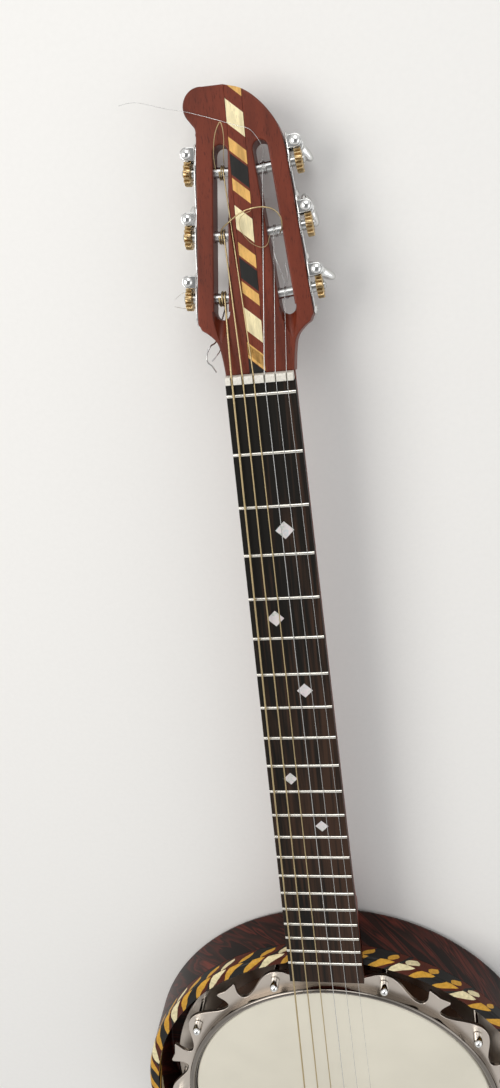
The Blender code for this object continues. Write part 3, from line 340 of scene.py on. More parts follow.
def ebony(tree, place):
    """Oiled ebonised rosewood: near black, with brown streaks on the treble side of the low frets.

    A noise drawn out along the board chooses the streaks. Two slopes are added to it, one that rises
    toward the pot and one that rises toward the treble side.
    """
    drawn = add(tree, "ShaderNodeMapping", {"Vector": place, "Scale": (1.0, 0.03, 1.0)})
    grain = (drawn, "Vector")
    streak = add(tree, "ShaderNodeTexNoise", {"Vector": grain, "Scale": every(2.38), "Detail": 4.0})
    split = add(tree, "ShaderNodeSeparateXYZ", {"Vector": place})
    down = {"Value": (split, "Y"), "From Min": 0.62, "From Max": 0.3, "To Min": -0.12, "To Max": 0.12}
    across = {"Value": (split, "X"), "From Min": -0.02, "From Max": 0.025, "To Min": -0.1, "To Max": 0.1}
    share = (streak, "Fac")
    for slope in (down, across):
        part = add(tree, "ShaderNodeMapRange", slope)
        share = (add(tree, "ShaderNodeMath", {0: share, 1: (part, "Result")}, operation="ADD"), "Value")
    bands = [(0.45, tone("board")), (0.72, tone("board_streak"))]
    ramp = add(tree, "ShaderNodeValToRGB", {"Fac": share}, bands)
    pore = add(tree, "ShaderNodeTexNoise", {"Vector": grain, "Scale": every(0.555), "Detail": 2.0})
    relief = add(tree, "ShaderNodeBump", {"Height": (pore, "Fac"), "Distance": 0.05 * MM, "Strength": 0.4})
    return {
        "Base Color": (ramp, "Color"),
        "Normal": (relief, "Normal"),
        "Roughness": 0.5,
        "Specular IOR Level": 0.12,
    }


def rosewood(tree, place):
    """Rosewood veneer under satin lacquer: near-black bands with firm edges and a few red-brown streaks.

    On the wall the bands climb at 42 degrees against the distance round the bowl, which is the angle
    times the bowl's radius. On the flat back they follow Y.
    """
    split = add(tree, "ShaderNodeSeparateXYZ", {"Vector": place})
    angle = add(tree, "ShaderNodeMath", {0: (split, "X"), 1: (split, "Y")}, operation="ARCTAN2")
    along = add(tree, "ShaderNodeMath", {0: (angle, "Value"), 1: BOWL_R * MM}, operation="MULTIPLY")
    wall = add(tree, "ShaderNodeCombineXYZ", {"X": (along, "Value"), "Y": (split, "Z"), "Z": 0.0})
    climb = (0, 0, math.radians(-42))
    tipped = add(tree, "ShaderNodeMapping", {"Vector": (wall, "Vector"), "Rotation": climb})
    drawn = add(tree, "ShaderNodeMapping", {"Vector": (tipped, "Vector"), "Scale": (0.12, 1.0, 1.0)})
    back = add(tree, "ShaderNodeMapping", {"Vector": place, "Scale": (1.0, 0.06, 1.0)})
    low = add(tree, "ShaderNodeMath", {0: (split, "Z"), 1: 3 * MM}, operation="LESS_THAN")
    parts = {"Fac": (low, "Value"), "Color1": (drawn, "Vector"), "Color2": (back, "Vector")}
    grain = (add(tree, "ShaderNodeMixRGB", parts), "Color")
    curl = {"Scale": every(14.3), "Detail": 3.0, "Roughness": 0.5, "Distortion": 0.4}
    broad = add(tree, "ShaderNodeTexNoise", {"Vector": grain, **curl})
    base, streak = tone("rosewood"), tone("rosewood_streak")
    bands = [(0.36, shaded(base, 0.3)), (0.43, shaded(base, 0.45)), (0.455, shaded(streak, 0.62))]
    bands += [(0.5, base), (0.545, shaded(base, 0.55)), (0.57, streak), (0.605, shaded(base, 0.5))]
    bands += [(0.68, shaded(streak, 1.35))]
    ramp = add(tree, "ShaderNodeValToRGB", {"Fac": (broad, "Fac")}, bands)
    pore = add(tree, "ShaderNodeTexNoise", {"Vector": grain, "Scale": every(0.667), "Detail": 2.0})
    relief = add(tree, "ShaderNodeBump", {"Height": (pore, "Fac"), "Distance": 0.04 * MM, "Strength": 0.25})
    return {
        "Base Color": (ramp, "Color"),
        "Normal": (relief, "Normal"),
        "Roughness": 0.4,
        "Specular IOR Level": 0.14,
        "Coat Weight": 0.03,
        "Coat Roughness": 0.12,
    }


def rope(tree, place):
    """Rope marquetry of dyed veneers under gloss lacquer, in cream, gold, russet and black.

    The way across the band is the radius beyond its inner face plus the depth below its top, in
    millimetres. The phase is the angle round the edge times the number of cells, less a slant that
    grows with that way, so the slant turns back on the inner face. The slant and the phase ease a
    little toward the treble side, as the veneers were laid. A ramp of the phase peaks at the middle
    of each light leaf, and a leaf shows where the ramp stands over a limit: the limit falls from the
    inner edge to the corner, and falls and rises again down the wall.
    """
    cells = bpy.context.scene.banjo_sizes.rope_cells
    period = 2 * math.pi * BOWL_R / cells
    inner = (BOWL_R - BOWL_WALL - BINDING_TOP) * MM
    split = add(tree, "ShaderNodeSeparateXYZ", {"Vector": place})
    flat = add(tree, "ShaderNodeCombineXYZ", {"X": (split, "X"), "Y": (split, "Y"), "Z": 0.0})
    radius = add(tree, "ShaderNodeVectorMath", {0: (flat, "Vector")}, operation="LENGTH")
    beyond = add(tree, "ShaderNodeMath", {0: (radius, "Value"), 1: (split, "Z")}, operation="SUBTRACT")
    band = {"From Min": inner, "From Max": inner + ROPE_WAY * MM, "To Max": ROPE_WAY}
    way = add(tree, "ShaderNodeMapRange", {"Value": (beyond, "Value"), **band})
    sides = {"Value": (split, "X"), "From Min": -ROPE_EASE, "From Max": ROPE_EASE}
    steep = add(tree, "ShaderNodeMapRange", {**sides, "To Min": 1.75 / period, "To Max": 1.15 / period})
    late = add(tree, "ShaderNodeMapRange", {**sides, "To Min": 0.06, "To Max": 0.0})
    angle = add(tree, "ShaderNodeMath", {0: (split, "X"), 1: (split, "Y")}, operation="ARCTAN2")
    turns = add(tree, "ShaderNodeMath", {0: (angle, "Value"), 1: cells / (2 * math.pi)}, operation="MULTIPLY")
    slant = add(tree, "ShaderNodeMath", {0: (way, "Result"), 1: (steep, "Result")}, operation="MULTIPLY")
    wander = add(tree, "ShaderNodeTexNoise", {"Vector": place, "Scale": every(14.3), "Detail": 1.0})
    ease = add(tree, "ShaderNodeMath", {0: (wander, "Fac"), 1: 0.12}, operation="MULTIPLY")
    phase = add(tree, "ShaderNodeMath", {0: (turns, "Value"), 1: (slant, "Value")}, operation="SUBTRACT")
    phase = add(tree, "ShaderNodeMath", {0: (phase, "Value"), 1: (ease, "Value")}, operation="ADD")
    phase = add(tree, "ShaderNodeMath", {0: (phase, "Value"), 1: (late, "Result")}, operation="SUBTRACT")
    cell = (add(tree, "ShaderNodeMath", {0: (phase, "Value")}, operation="FRACT"), "Value")
    cream, gold, russet, black = (tone(name) for name in ("cream", "gold", "russet", "black"))
    darks = [(0.0, russet), (0.34, black), (0.71, russet), (0.87, black), (0.93, russet)]
    ground = add(tree, "ShaderNodeValToRGB", {"Fac": cell}, darks)
    leaves = add(tree, "ShaderNodeValToRGB", {"Fac": cell}, [(0.0, cream), (0.17, gold), (0.85, cream)])
    ground.color_ramp.interpolation = leaves.color_ramp.interpolation = "CONSTANT"
    peaks = [(0.0, 1.0), (0.15, 0.0), (0.2, 0.0), (0.32, 1.0), (0.44, 0.0), (0.575, 0.0), (0.705, 1.0)]
    peaks += [(0.835, 0.0), (0.86, 0.0), (1.0, 1.0)]
    middle = add(tree, "ShaderNodeValToRGB", {"Fac": cell}, peaks)
    share = add(tree, "ShaderNodeMath", {0: (way, "Result"), 1: ROPE_WAY}, operation="DIVIDE")
    ends = [(0.0, 0.7), (0.1, 0.5), (0.24, 0.26), (0.38, 0.12), (0.5, 0.14), (0.535, 1.0)]
    ends += [(0.6, 0.6), (0.7, 0.36), (0.8, 0.5), (0.9, 1.0)]
    limit = add(tree, "ShaderNodeValToRGB", {"Fac": (share, "Value")}, ends)
    over = add(tree, "ShaderNodeMath", {0: (middle, "Color"), 1: (limit, "Color")}, operation="SUBTRACT")
    edge = add(tree, "ShaderNodeMapRange", {"Value": (over, "Value"), "From Min": 0.0, "From Max": 0.05})
    parts = {"Fac": (edge, "Result"), "Color1": (ground, "Color"), "Color2": (leaves, "Color")}
    colours = add(tree, "ShaderNodeMixRGB", parts)
    grain = add(tree, "ShaderNodeTexNoise", {"Vector": place, "Scale": every(2.38), "Detail": 3.0})
    faint = {"Value": (grain, "Fac"), "From Min": 0.3, "From Max": 0.7, "To Min": 0.72}
    shade = add(tree, "ShaderNodeMapRange", faint)
    parts = {"Fac": 1.0, "Color1": (colours, "Color"), "Color2": (shade, "Result")}
    tinted = add(tree, "ShaderNodeMixRGB", parts, blend_type="MULTIPLY")
    relief = add(tree, "ShaderNodeBump", {"Height": (grain, "Fac"), "Distance": 0.03 * MM, "Strength": 0.3})
    return {
        "Base Color": (tinted, "Color"),
        "Normal": (relief, "Normal"),
        "Roughness": 0.4,
        "Specular IOR Level": 0.16,
        "Coat Weight": 0.03,
        "Coat Roughness": 0.1,
    }


def metal(tree, place, shade, roughness, smudge, marks=None, depth=0.01, strength=0.5):
    """Plated or polished metal. Smudges and wear change its roughness and its colour a little, and
    marks bump it, which are fine polishing marks unless others are given. depth is in millimetres."""
    cloud = add(tree, "ShaderNodeTexNoise", {"Vector": place, "Scale": every(18.2), "Detail": 5.0})
    worn = {"From Min": 0.35, "From Max": 0.75, "To Min": roughness, "To Max": roughness + smudge}
    dull = add(tree, "ShaderNodeMapRange", {"Value": (cloud, "Fac"), **worn})
    tint = add(tree, "ShaderNodeValToRGB", {"Fac": (cloud, "Fac")}, [(0.3, shaded(shade, 0.9)), (0.6, shade)])
    marks = marks or add(tree, "ShaderNodeTexNoise", {"Vector": place, "Scale": every(0.35), "Detail": 2.0})
    raised = {"Height": (marks, "Fac"), "Distance": depth * MM, "Strength": strength}
    relief = add(tree, "ShaderNodeBump", raised)
    return {
        "Base Color": (tint, "Color"),
        "Roughness": (dull, "Result"),
        "Normal": (relief, "Normal"),
        "Metallic": 1.0,
    }


def nickel(tree, place):
    """Cast brass with satin nickel plate: warm pale grey with a soft, broad shine and a fine cast grain."""
    grit = add(tree, "ShaderNodeTexNoise", {"Vector": place, "Scale": every(0.5), "Detail": 2.0})
    return metal(tree, place, tone("nickel"), 0.3, 0.12, grit, 0.012)


def bright_nickel(tree, place):
    """The same plating, rolled and buffed, with its colour darkened to a painted dark reflection: it mirrors
    the room, a little softly.
    """
    # Painted dark reflection: the nickel's colour is cut to about a third.
    return metal(tree, place, shaded(tone("nickel"), 0.34), 0.14, 0.1)


def chrome(tree, place):
    """Chromed steel pressings and castings: mirror bright, with finger marks."""
    return metal(tree, place, tone("chrome"), 0.07, 0.16)


def steel(tree, place):
    """Turned and polished steel: bright, a little greyer and duller than chrome."""
    return metal(tree, place, tone("steel"), 0.16, 0.14)


def brass(tree, place):
    """Hobbed brass: yellow, slightly dulled between the teeth."""
    return metal(tree, place, tone("brass"), 0.22, 0.2)


def fret_silver(tree, place):
    """Drawn nickel silver, crowned and polished: a warm white line of light on each fret."""
    return metal(tree, place, tone("silver"), 0.16, 0.12)


def bronze(tree, place):
    """Bronze winding on a steel core: fine ridges across a gold-brown wire. They are drawn 0.8 mm
    apart, about three times their real pitch, so that they show."""
    pitch = {"Vector": place, "Scale": WAVE_SPACING * every(0.8)}
    ridges = add(tree, "ShaderNodeTexWave", pitch, bands_direction="Y")
    return metal(tree, place, tone("bronze"), 0.3, 0.12, ridges, 0.06, 0.8)


def skin(tree, place):
    """Sprayed drum skin: warm white, matt, with faint clouding and a few specks."""
    cloud = add(tree, "ShaderNodeTexNoise", {"Vector": place, "Scale": every(71.4), "Detail": 4.0})
    speck = add(tree, "ShaderNodeTexVoronoi", {"Vector": place, "Scale": every(29.4)})
    clouding = [(0.35, shaded(tone("skin"), 0.94)), (0.65, shaded(tone("skin"), 1.03))]
    ramp = add(tree, "ShaderNodeValToRGB", {"Fac": (cloud, "Fac")}, clouding)
    spots = add(tree, "ShaderNodeValToRGB", {"Fac": (speck, "Distance")}, [(0.012, 0.3), (0.03, 0.0)])
    parts = {"Fac": (spots, "Color"), "Color1": (ramp, "Color"), "Color2": tone("speck")}
    mixed = add(tree, "ShaderNodeMixRGB", parts)
    tooth = add(tree, "ShaderNodeTexNoise", {"Vector": place, "Scale": every(0.625), "Detail": 2.0})
    relief = add(tree, "ShaderNodeBump", {"Height": (tooth, "Fac"), "Distance": 0.03 * MM, "Strength": 0.4})
    return {"Base Color": (mixed, "Color"), "Normal": (relief, "Normal"), "Roughness": 0.55}


def bone(tree, place):
    """Polished bone: off-white, with short faint flecks."""
    fleck = add(tree, "ShaderNodeTexNoise", {"Vector": place, "Scale": every(1.111), "Detail": 3.0})
    flecks = [(0.35, shaded(tone("bone"), 0.86)), (0.55, tone("bone"))]
    ramp = add(tree, "ShaderNodeValToRGB", {"Fac": (fleck, "Fac")}, flecks)
    relief = add(tree, "ShaderNodeBump", {"Height": (fleck, "Fac"), "Distance": 0.02 * MM, "Strength": 0.3})
    return {"Base Color": (ramp, "Color"), "Normal": (relief, "Normal"), "Roughness": 0.34}


def pearl(tree, place):
    """Mother-of-pearl: grey-white, with drifting pink and green layers under a polish."""
    waves = {"Scale": every(4.76), "Detail": 3.0, "Distortion": 1.2}
    drift = add(tree, "ShaderNodeTexNoise", {"Vector": place, **waves})
    layers = [(0.3, tone("pearl_green")), (0.45, tone("pearl")), (0.55, tone("pearl_pink"))]
    layers += [(0.7, tone("pearl_blue"))]
    ramp = add(tree, "ShaderNodeValToRGB", {"Fac": (drift, "Fac")}, layers)
    return {"Base Color": (ramp, "Color"), "Roughness": 0.28, "Coat Weight": 0.8, "Coat Roughness": 0.05}


FINISHES = {
    "mahogany": mahogany,
    "maple": maple,
    "stained_maple": stained_maple,
    "ebony": ebony,
    "rosewood": rosewood,
    "marquetry": rope,
    "nickel": nickel,
    "bright_nickel": bright_nickel,
    "chrome": chrome,
    "steel": steel,
    "brass": brass,
    "fret_silver": fret_silver,
    "bronze_winding": bronze,
    "skin": skin,
    "bone": bone,
    "pearl": pearl,
    "cream_veneer": lambda tree, place: veneer(tree, place, tone("cream")),
    "tan_veneer": lambda tree, place: veneer(tree, place, tone("tan")),
    "black_veneer": lambda tree, place: veneer(tree, place, tone("black")),
}
made_finishes = {}


def finish(name):
    """The material of that name. On its first use, its function adds the nodes of its pattern and
    gives the inputs of its shader."""
    if name not in made_finishes:
        made, tree, place = blank(name)
        shader = add(tree, "ShaderNodeBsdfPrincipled", FINISHES[name](tree, place))
        add(tree, "ShaderNodeOutputMaterial", {"Surface": (shader, "BSDF")})
        made_finishes[name] = made
    return made_finishes[name]


def quads(rows, columns, wrap_rows=False, wrap_columns=True):
    """Four corner numbers for each cell of a grid of points that is stored row by row."""
    i = np.arange(rows if wrap_rows else rows - 1)[:, None]
    j = np.arange(columns if wrap_columns else columns - 1)[None]
    low, high = i * columns, (i + 1) % rows * columns
    after = (j + 1) % columns
    return np.stack([low + j, low + after, high + after, high + j], -1).reshape(-1, 4)


def skinned(rings, wrap=False):
    """A closed skin over rings (rows, points, 3): a hoop if it wraps, or else with flat ends."""
    rows, columns = rings.shape[:2]
    faces = [quads(rows, columns, wrap)]
    if not wrap:
        faces += [np.arange(columns)[None, ::-1], np.arange((rows - 1) * columns, rows * columns)[None]]
    return rings.reshape(-1, 3), faces


def joined(*shapes):
    """Several shapes as one, with their face numbers moved along."""
    points, faces, start = [], [], 0
    for spots, blocks in shapes:
        points.append(spots)
        faces += [block + start for block in blocks]
        start += len(spots)
    return np.concatenate(points), faces


def shift(x, y, z):
    """The 4 by 4 matrix of a move."""
    out = np.eye(4)
    out[:3, 3] = x, y, z
    return out


def turn(axis, degrees):
    """The 4 by 4 matrix of a turn about X, Y or Z."""
    return np.array(Matrix.Rotation(math.radians(degrees), 4, axis))


def moved(place, shape):
    """The shape's points carried by a 4 by 4 matrix."""
    points, faces = shape
    return points @ place[:3, :3].T + place[:3, 3], faces


def curved(points, steps):
    """A Catmull-Rom curve through the points: the usual cubic of four neighbours at each step."""
    p = np.asarray(points, float)
    p = np.vstack([2 * p[0] - p[1], p, 2 * p[-1] - p[-2]])
    t = (np.arange(steps) / steps)[None, :, None]
    a, b, c, d = (q[:, None] for q in (p[:-3], p[1:-2], p[2:-1], p[3:]))
    out = 0.5 * (2 * b + (c - a) * t + (2 * a - 5 * b + 4 * c - d) * t**2 + (3 * b - a - 3 * c + d) * t**3)
    return np.vstack([out.reshape(-1, p.shape[1]), p[-2]])


def arc(middle, radius, start, end, steps):
    """Middle plus radius times (cosine, sine) of each angle, in degrees."""
    a = np.radians(np.linspace(start, end, steps + 1))
    return np.stack([middle[0] + radius * np.cos(a), middle[1] + radius * np.sin(a)], -1)


def outward(outline):
    """For each corner, the step that moves both its edges out by one."""
    edge = np.roll(outline, -1, 0) - outline
    edge /= np.linalg.norm(edge, axis=1, keepdims=True)
    normal = np.stack([edge[:, 1], -edge[:, 0]], -1)
    before = np.roll(normal, 1, 0)
    lean = 1 + (normal * before).sum(1, keepdims=True)
    return (normal + before) / np.maximum(lean, 0.5)


def anticlockwise(outline):
    """The outline, turned round where its signed area is below zero."""
    x, y = outline[:, 0], outline[:, 1]
    area = (x * np.roll(y, -1) - np.roll(x, -1) * y).sum()
    return outline if area > 0 else outline[::-1]


def slab(outline, low, high, soft, steps=4):
    """An outline extruded from low to high with rounded edges.

    At each quarter-circle step t the outline is drawn in by soft times (1 - sin t) and stands soft
    times (1 - cos t) from the face.
    """
    outline = anticlockwise(np.asarray(outline, float))
    t = np.linspace(0, np.pi / 2, steps + 1)
    inset, rise = soft * (1 - np.sin(t)), soft * (1 - np.cos(t))
    inset = np.concatenate([inset, inset[::-1]])
    z = np.concatenate([low + rise, high - rise[::-1]])
    flat = outline[None] - inset[:, None, None] * outward(outline)[None]
    height = np.broadcast_to(z[:, None, None], (*flat.shape[:2], 1))
    return skinned(np.concatenate([flat, height], -1))


def turned(profile, sides, hoop=False):
    """A profile of (radius, height) turned about Z: radius times (cosine, sine), height."""
    profile = np.asarray(profile, float)
    a = np.linspace(0, 2 * np.pi, sides, endpoint=False)
    radius, z = profile[:, :1], profile[:, 1:]
    rings = np.stack([radius * np.cos(a), radius * np.sin(a), np.broadcast_to(z, (len(profile), sides))], -1)
    return skinned(rings, hoop)


def tube(path, radius, sides=12, across=(1, 0, 0)):
    """A round section carried along a path. Its two radii are the path's direction crossed with
    a fixed one that the path never follows, and then crossed again."""
    path = np.asarray(path, float)
    along = np.gradient(path, axis=0)
    along /= np.linalg.norm(along, axis=1, keepdims=True)
    first = np.cross(along, np.asarray(across, float))
    first /= np.linalg.norm(first, axis=1, keepdims=True)
    second = np.cross(along, first)
    a = np.linspace(0, 2 * np.pi, sides, endpoint=False)[None, :, None]
    radius = np.broadcast_to(radius, len(path))[:, None, None]
    return skinned(path[:, None] + radius * (np.cos(a) * first[:, None] + np.sin(a) * second[:, None]))


def box(low, high):
    """A plain cutter from corner to corner."""
    (x0, y0, z0), (x1, y1, z1) = low, high
    outline = np.array([(x0, y0), (x1, y0), (x1, y1), (x0, y1)], float)
    rings = np.stack([np.column_stack([outline, np.full(4, z)]) for z in (z0, z1)])
    return skinned(rings)


def mesh_of(name, shape):
    """A mesh in metres, with its faces turned outwards."""
    points, blocks = shape
    mesh = bpy.data.meshes.new(name)
    mesh.from_pydata((points * MM).tolist(), [], [face for block in blocks for face in block.tolist()])
    work = bmesh.new()
    work.from_mesh(mesh)
    bmesh.ops.recalc_face_normals(work, faces=work.faces)
    work.to_mesh(mesh)
    work.free()
    return mesh


def carved(name, shape, steps):
    """The shape after each (operation, other shape) in turn, with the cutters removed."""
    collection = bpy.context.scene.collection
    obj = bpy.data.objects.new(name + "_work", mesh_of(name, shape))
    collection.objects.link(obj)
    others = []
    for operation, other in steps:
        tool = bpy.data.objects.new(name + "_tool", mesh_of(name + "_tool", other))
        collection.objects.link(tool)
        others.append(tool)
        step = obj.modifiers.new(operation, "BOOLEAN")
        step.operation = operation
        step.object = tool
        step.solver = "MANIFOLD"
    graph = bpy.context.evaluated_depsgraph_get()
    mesh = bpy.data.meshes.new_from_object(obj.evaluated_get(graph))
    for spent in (obj, *others):
        old = spent.data
        bpy.data.objects.remove(spent)
        bpy.data.meshes.remove(old)
    work = bmesh.new()
    work.from_mesh(mesh)
    bmesh.ops.remove_doubles(work, verts=work.verts, dist=0.002 * MM)
    bmesh.ops.dissolve_degenerate(work, edges=work.edges, dist=0.001 * MM)
    work.to_mesh(mesh)
    work.free()
    return mesh


def piece(name, form, look, replaces=(), body="banjo", sharp=35.0):
    """Makes a finished piece from a shape or a mesh, hangs it on the body that it rides on, and hides the
    model's parts that it stands for.
    """
    mesh = form if isinstance(form, bpy.types.Mesh) else mesh_of(name, form)
    mesh.name = name
    mesh.materials.clear()
    mesh.materials.append(finish(look))
    mesh.shade_smooth()
    mesh.set_sharp_from_angle(angle=math.radians(sharp))
    obj = bpy.data.objects.new(name, mesh)
    bpy.context.scene.collection.objects.link(obj)
    even = obj.modifiers.new("Even normals", "WEIGHTED_NORMAL")
    even.keep_sharp = True
    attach(obj, body)
    if replaces:
        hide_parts(*replaces)
    return obj


def fret_y(number):
    """A fret's place: twelve equal steps to the octave, measured from the zero fret."""
    return ZERO_FRET_Y - SCALE_LENGTH * (1 - 2 ** (-np.asarray(number, float) / 12))


def board_half(y):
    """Half the board's width, which grows evenly from the zero fret to the last one."""
    share = (ZERO_FRET_Y - y) / (ZERO_FRET_Y - fret_y(FRETS))
    return BOARD_HALF[0] + (BOARD_HALF[1] - BOARD_HALF[0]) * share


def string_x(index, half):
    """Where a string passes, when the six stand evenly from one side to the other."""
    return half * (2 * index / (len(STRING_WIDTHS) - 1) - 1)


def tilted():
    """The headstock's frame: its face is the local XY plane and starts at the nut's back."""
    return shift(0, NUT_BACK_Y - GAP, FRET_TOP_Z - HEAD_DROP) @ turn("X", -HEAD_TILT)


def side_frame(side):
    """A row of machines: X across to the treble side, Y along the side face, Z out of the front."""
    taper = math.atan2(SHOULDER[0] - TIP[0], TIP[1] - SHOULDER[1])
    edge = SHOULDER[0] - math.tan(taper) * (MACHINE_Y - SHOULDER[1])
    return tilted() @ shift(side * edge, MACHINE_Y, -ROLLER_DEPTH) @ turn("Z", side * math.degrees(taper))


def machine_frame(side, step):
    """One machine's frame: the row's, on the roller's axis."""
    return side_frame(side) @ shift(0, step * MACHINE_STEP, 0)


def roller_frame(side, step):
    """The roller's frame: Z points out of the side face."""
    return machine_frame(side, step) @ turn("Y", side * 90)


def gear_frame(side, step):
    """The wheel's frame, which turns about X."""
    return machine_frame(side, step) @ shift(side * GEAR_OUT, 0, 0)


def worm_frame(side, step):
    """The worm's frame, which turns about Z, a wheel's and a worm's radius further on."""
    return gear_frame(side, step) @ shift(0, GEAR_R + WORM_R, 0)


def tag(side, step):
    """A machine's name: its row, and its number from the nut."""
    return f"{'bass' if side < 0 else 'treble'}_{step + 2}"


def neck_underside(y):
    """The neck's back. It deepens slowly, then falls to the heel's toe in a quarter curve."""
    share = (NUT_BACK_Y - y) / (NUT_BACK_Y - HEEL_START_Y)
    shaft = NECK_TOP - (NECK_DEPTH[0] + (NECK_DEPTH[1] - NECK_DEPTH[0]) * share)
    fall = np.clip((HEEL_START_Y - y) / (HEEL_START_Y - HEEL_TOE_Y), 0, 1)
    sweep = 1 - np.sqrt(1 - fall**2.2)
    return np.where(y >= HEEL_START_Y, shaft, shaft + (HEEL_BOTTOM_Z - shaft) * sweep)


def heel_half(y, z):
    """Half the heel's width, from the board's at the top to the foot's at the bottom."""
    share = np.clip((NECK_TOP - z) / (NECK_TOP - HEEL_BOTTOM_Z), 0, None) ** 1.2
    return board_half(y) + (HEEL_FOOT_HALF - board_half(y)) * share


def neck_rings(y, around=44):
    """Rounded D sections: x is the half width times a power of the cosine, and z falls from the
    board by the depth times a power of the sine. The powers grow small, and the D square, where
    the heel is deep."""
    round_power, square_power, flank = 0.78, 0.3, 1.5
    y = y[:, None]
    depth = NECK_TOP - neck_underside(y)
    shaft = NECK_DEPTH[1]
    deep = np.clip((depth - shaft) / (NECK_TOP - HEEL_BOTTOM_Z - shaft), 0, 1)
    power = round_power + (square_power - round_power) * np.minimum(1, deep * 3)
    a = np.linspace(0, np.pi, around)[None]
    z = NECK_TOP - flank - (depth - flank) * np.abs(np.sin(a)) ** power
    half = board_half(y) + (heel_half(y, z) - board_half(y)) * deep
    x = half * np.sign(np.cos(a)) * np.abs(np.cos(a)) ** power
    side = np.stack([x, np.broadcast_to(y, x.shape), z], -1)
    top = np.concatenate([board_half(y), y, np.full_like(y, NECK_TOP)], 1)[:, None]
    return np.concatenate([top, side, top * [-1, 1, 1]], 1)


def headstock_outline():
    """Two curved cheeks, straight tapered sides, a crown, and a scroll that leans to the bass side."""
    cheek = [(NUT_HALF + 0.4, 0), (21.8, 10.3), (23.6, 18.8), (27.6, 24.0), (32.4, 27.6)]
    right = np.vstack([curved(cheek, 8), arc((31.5, 32.2), 2.9, -45, 5, 6)])
    crown = [TIP, (24.2, 130.0), (20.6, 139.0), (13.2, 148.7), (4.1, 156.0), (-6.6, 159.6)]
    scroll = arc((-20.3, 149.8), 10.2, 80, 215, 26)
    throat = arc((-29.2, 136.9), 4.6, 40, -20, 8)
    end = TIP[0] - (SHOULDER[0] - TIP[0]) / (TIP[1] - SHOULDER[1]) * (THROAT_Y - TIP[1])
    return np.vstack([right, curved(crown, 8), scroll, throat, [(-end, THROAT_Y)], right[::-1] * [-1, 1]])


def slot_cutters(side):
    """A round-ended slot whose half width grows by the edge radius times (1 - cos t) at both mouths,
    and a run-out toward the nut whose half width and depth shrink together."""
    soft = size("slot_round")
    t = np.linspace(0, np.pi / 2, 5)
    face, back = ROLLER_DEPTH, ROLLER_DEPTH - HEAD_THICK
    extra = soft * (1 - np.cos(t))
    lower, upper = (back + soft - soft * np.sin(t))[::-1], face - soft + soft * np.sin(t)
    z = np.concatenate([[back - 4], lower, upper, [face + 4]])
    grow = np.concatenate([[soft], extra[::-1], extra, [soft]])
    a = np.radians(np.concatenate([np.linspace(180, 360, 17), np.linspace(0, 180, 17)]))
    end = np.repeat([SLOT_ENDS[0] + SLOT_HALF, SLOT_ENDS[1] - SLOT_HALF], 17)
    reach = SLOT_HALF + grow[:, None]
    x = -side * SLOT_IN + reach * np.cos(a)
    y = end + reach * np.sin(a)
    slot = skinned(np.stack([x, y, np.broadcast_to(z[:, None], x.shape)], -1))
    inside, deep = 5.0, 10.0  # where the run-out starts within the slot, and its depth there
    run = np.linspace(0, 1, 12)[:, None]
    a = np.linspace(0, np.pi, 15)[None]
    half = (SLOT_HALF + 0.3) * (1 - run**1.5) + 0.7
    low = face - (deep * (1 - run) ** 1.25 + 0.15) * np.sin(a)
    lid = np.full_like(run, face + 3)
    x = np.concatenate([half, half * np.cos(a), -half], 1) - side * SLOT_IN
    z = np.concatenate([lid, low, lid], 1)
    y = np.broadcast_to(SLOT_ENDS[0] + inside - run * (size("ramp") + inside), x.shape)
    ramp = skinned(np.stack([x, y, z], -1))
    return moved(side_frame(side), slot), moved(side_frame(side), ramp)


def roller_bore(side, step):
    """The hole that a roller turns in, from the side face to beyond its slot."""
    radius, inner = ROLLER_R + PLAY, -(SLOT_IN + SLOT_HALF + 6.5)
    return moved(roller_frame(side, step), turned([(radius, inner), (radius, 6)], 40))


def string_course(index):
    """Where a string leaves the nut and touches its roller, and its winding's own values."""
    width = STRING_WIDTHS[index]
    side = -1 if index < 3 else 1
    step = (-1, 0, 1)[index] if index < 3 else (1, 0, -1)[index - 3]
    place = machine_frame(side, step)
    nut = np.array([string_x(index, AT_NUT), NUT_BACK_Y, NUT_SLOT_Z + 0.2 + width / 2])
    radius, rise = ROLLER_R + GAP + width / 2, width + TURN_GAP
    start = -side * (SLOT_IN + rise)
    local = np.linalg.inv(place) @ [*nut, 1]
    angle = math.atan2(local[2], local[1]) - math.acos(radius / math.hypot(local[1], local[2]))
    touch = place @ [start, radius * math.cos(angle), radius * math.sin(angle), 1]
    return nut, touch[:3], place, radius, side * rise, start, angle


def string_groove(index):
    """The relief in the face below a string, as wide as the string and a little more."""
    nut, touch, *_ = string_course(index)
    inverse = np.linalg.inv(tilted())
    a, b = (inverse @ [*nut, 1])[:3], (inverse @ [*touch, 1])[:3]
    half = STRING_WIDTHS[index] / 2 + 0.6
    run = (b - a) / np.linalg.norm((b - a)[:2])
    ends = np.stack([a + run * 6.0, b + run * 2.0])
    side = np.array([-run[1], run[0], 0]) * half
    angle = np.linspace(np.pi, 2 * np.pi, 9)[None, :, None]
    bottom = ends[:, None] + side * np.cos(angle) + np.array([0, 0, half]) * np.sin(angle)
    lid = ends[:, None] * [1, 1, 0] + np.stack([side, -side])[None] + [0, 0, 12]
    return moved(tilted(), skinned(np.concatenate([bottom, lid], 1)))


def stick_window(near, far):
    """The room round the dowel stick, from one y to another."""
    half = STICK_HALF + GAP
    return box((-half, near, STICK_LOW - GAP), (half, far, STICK_TOP + GAP))


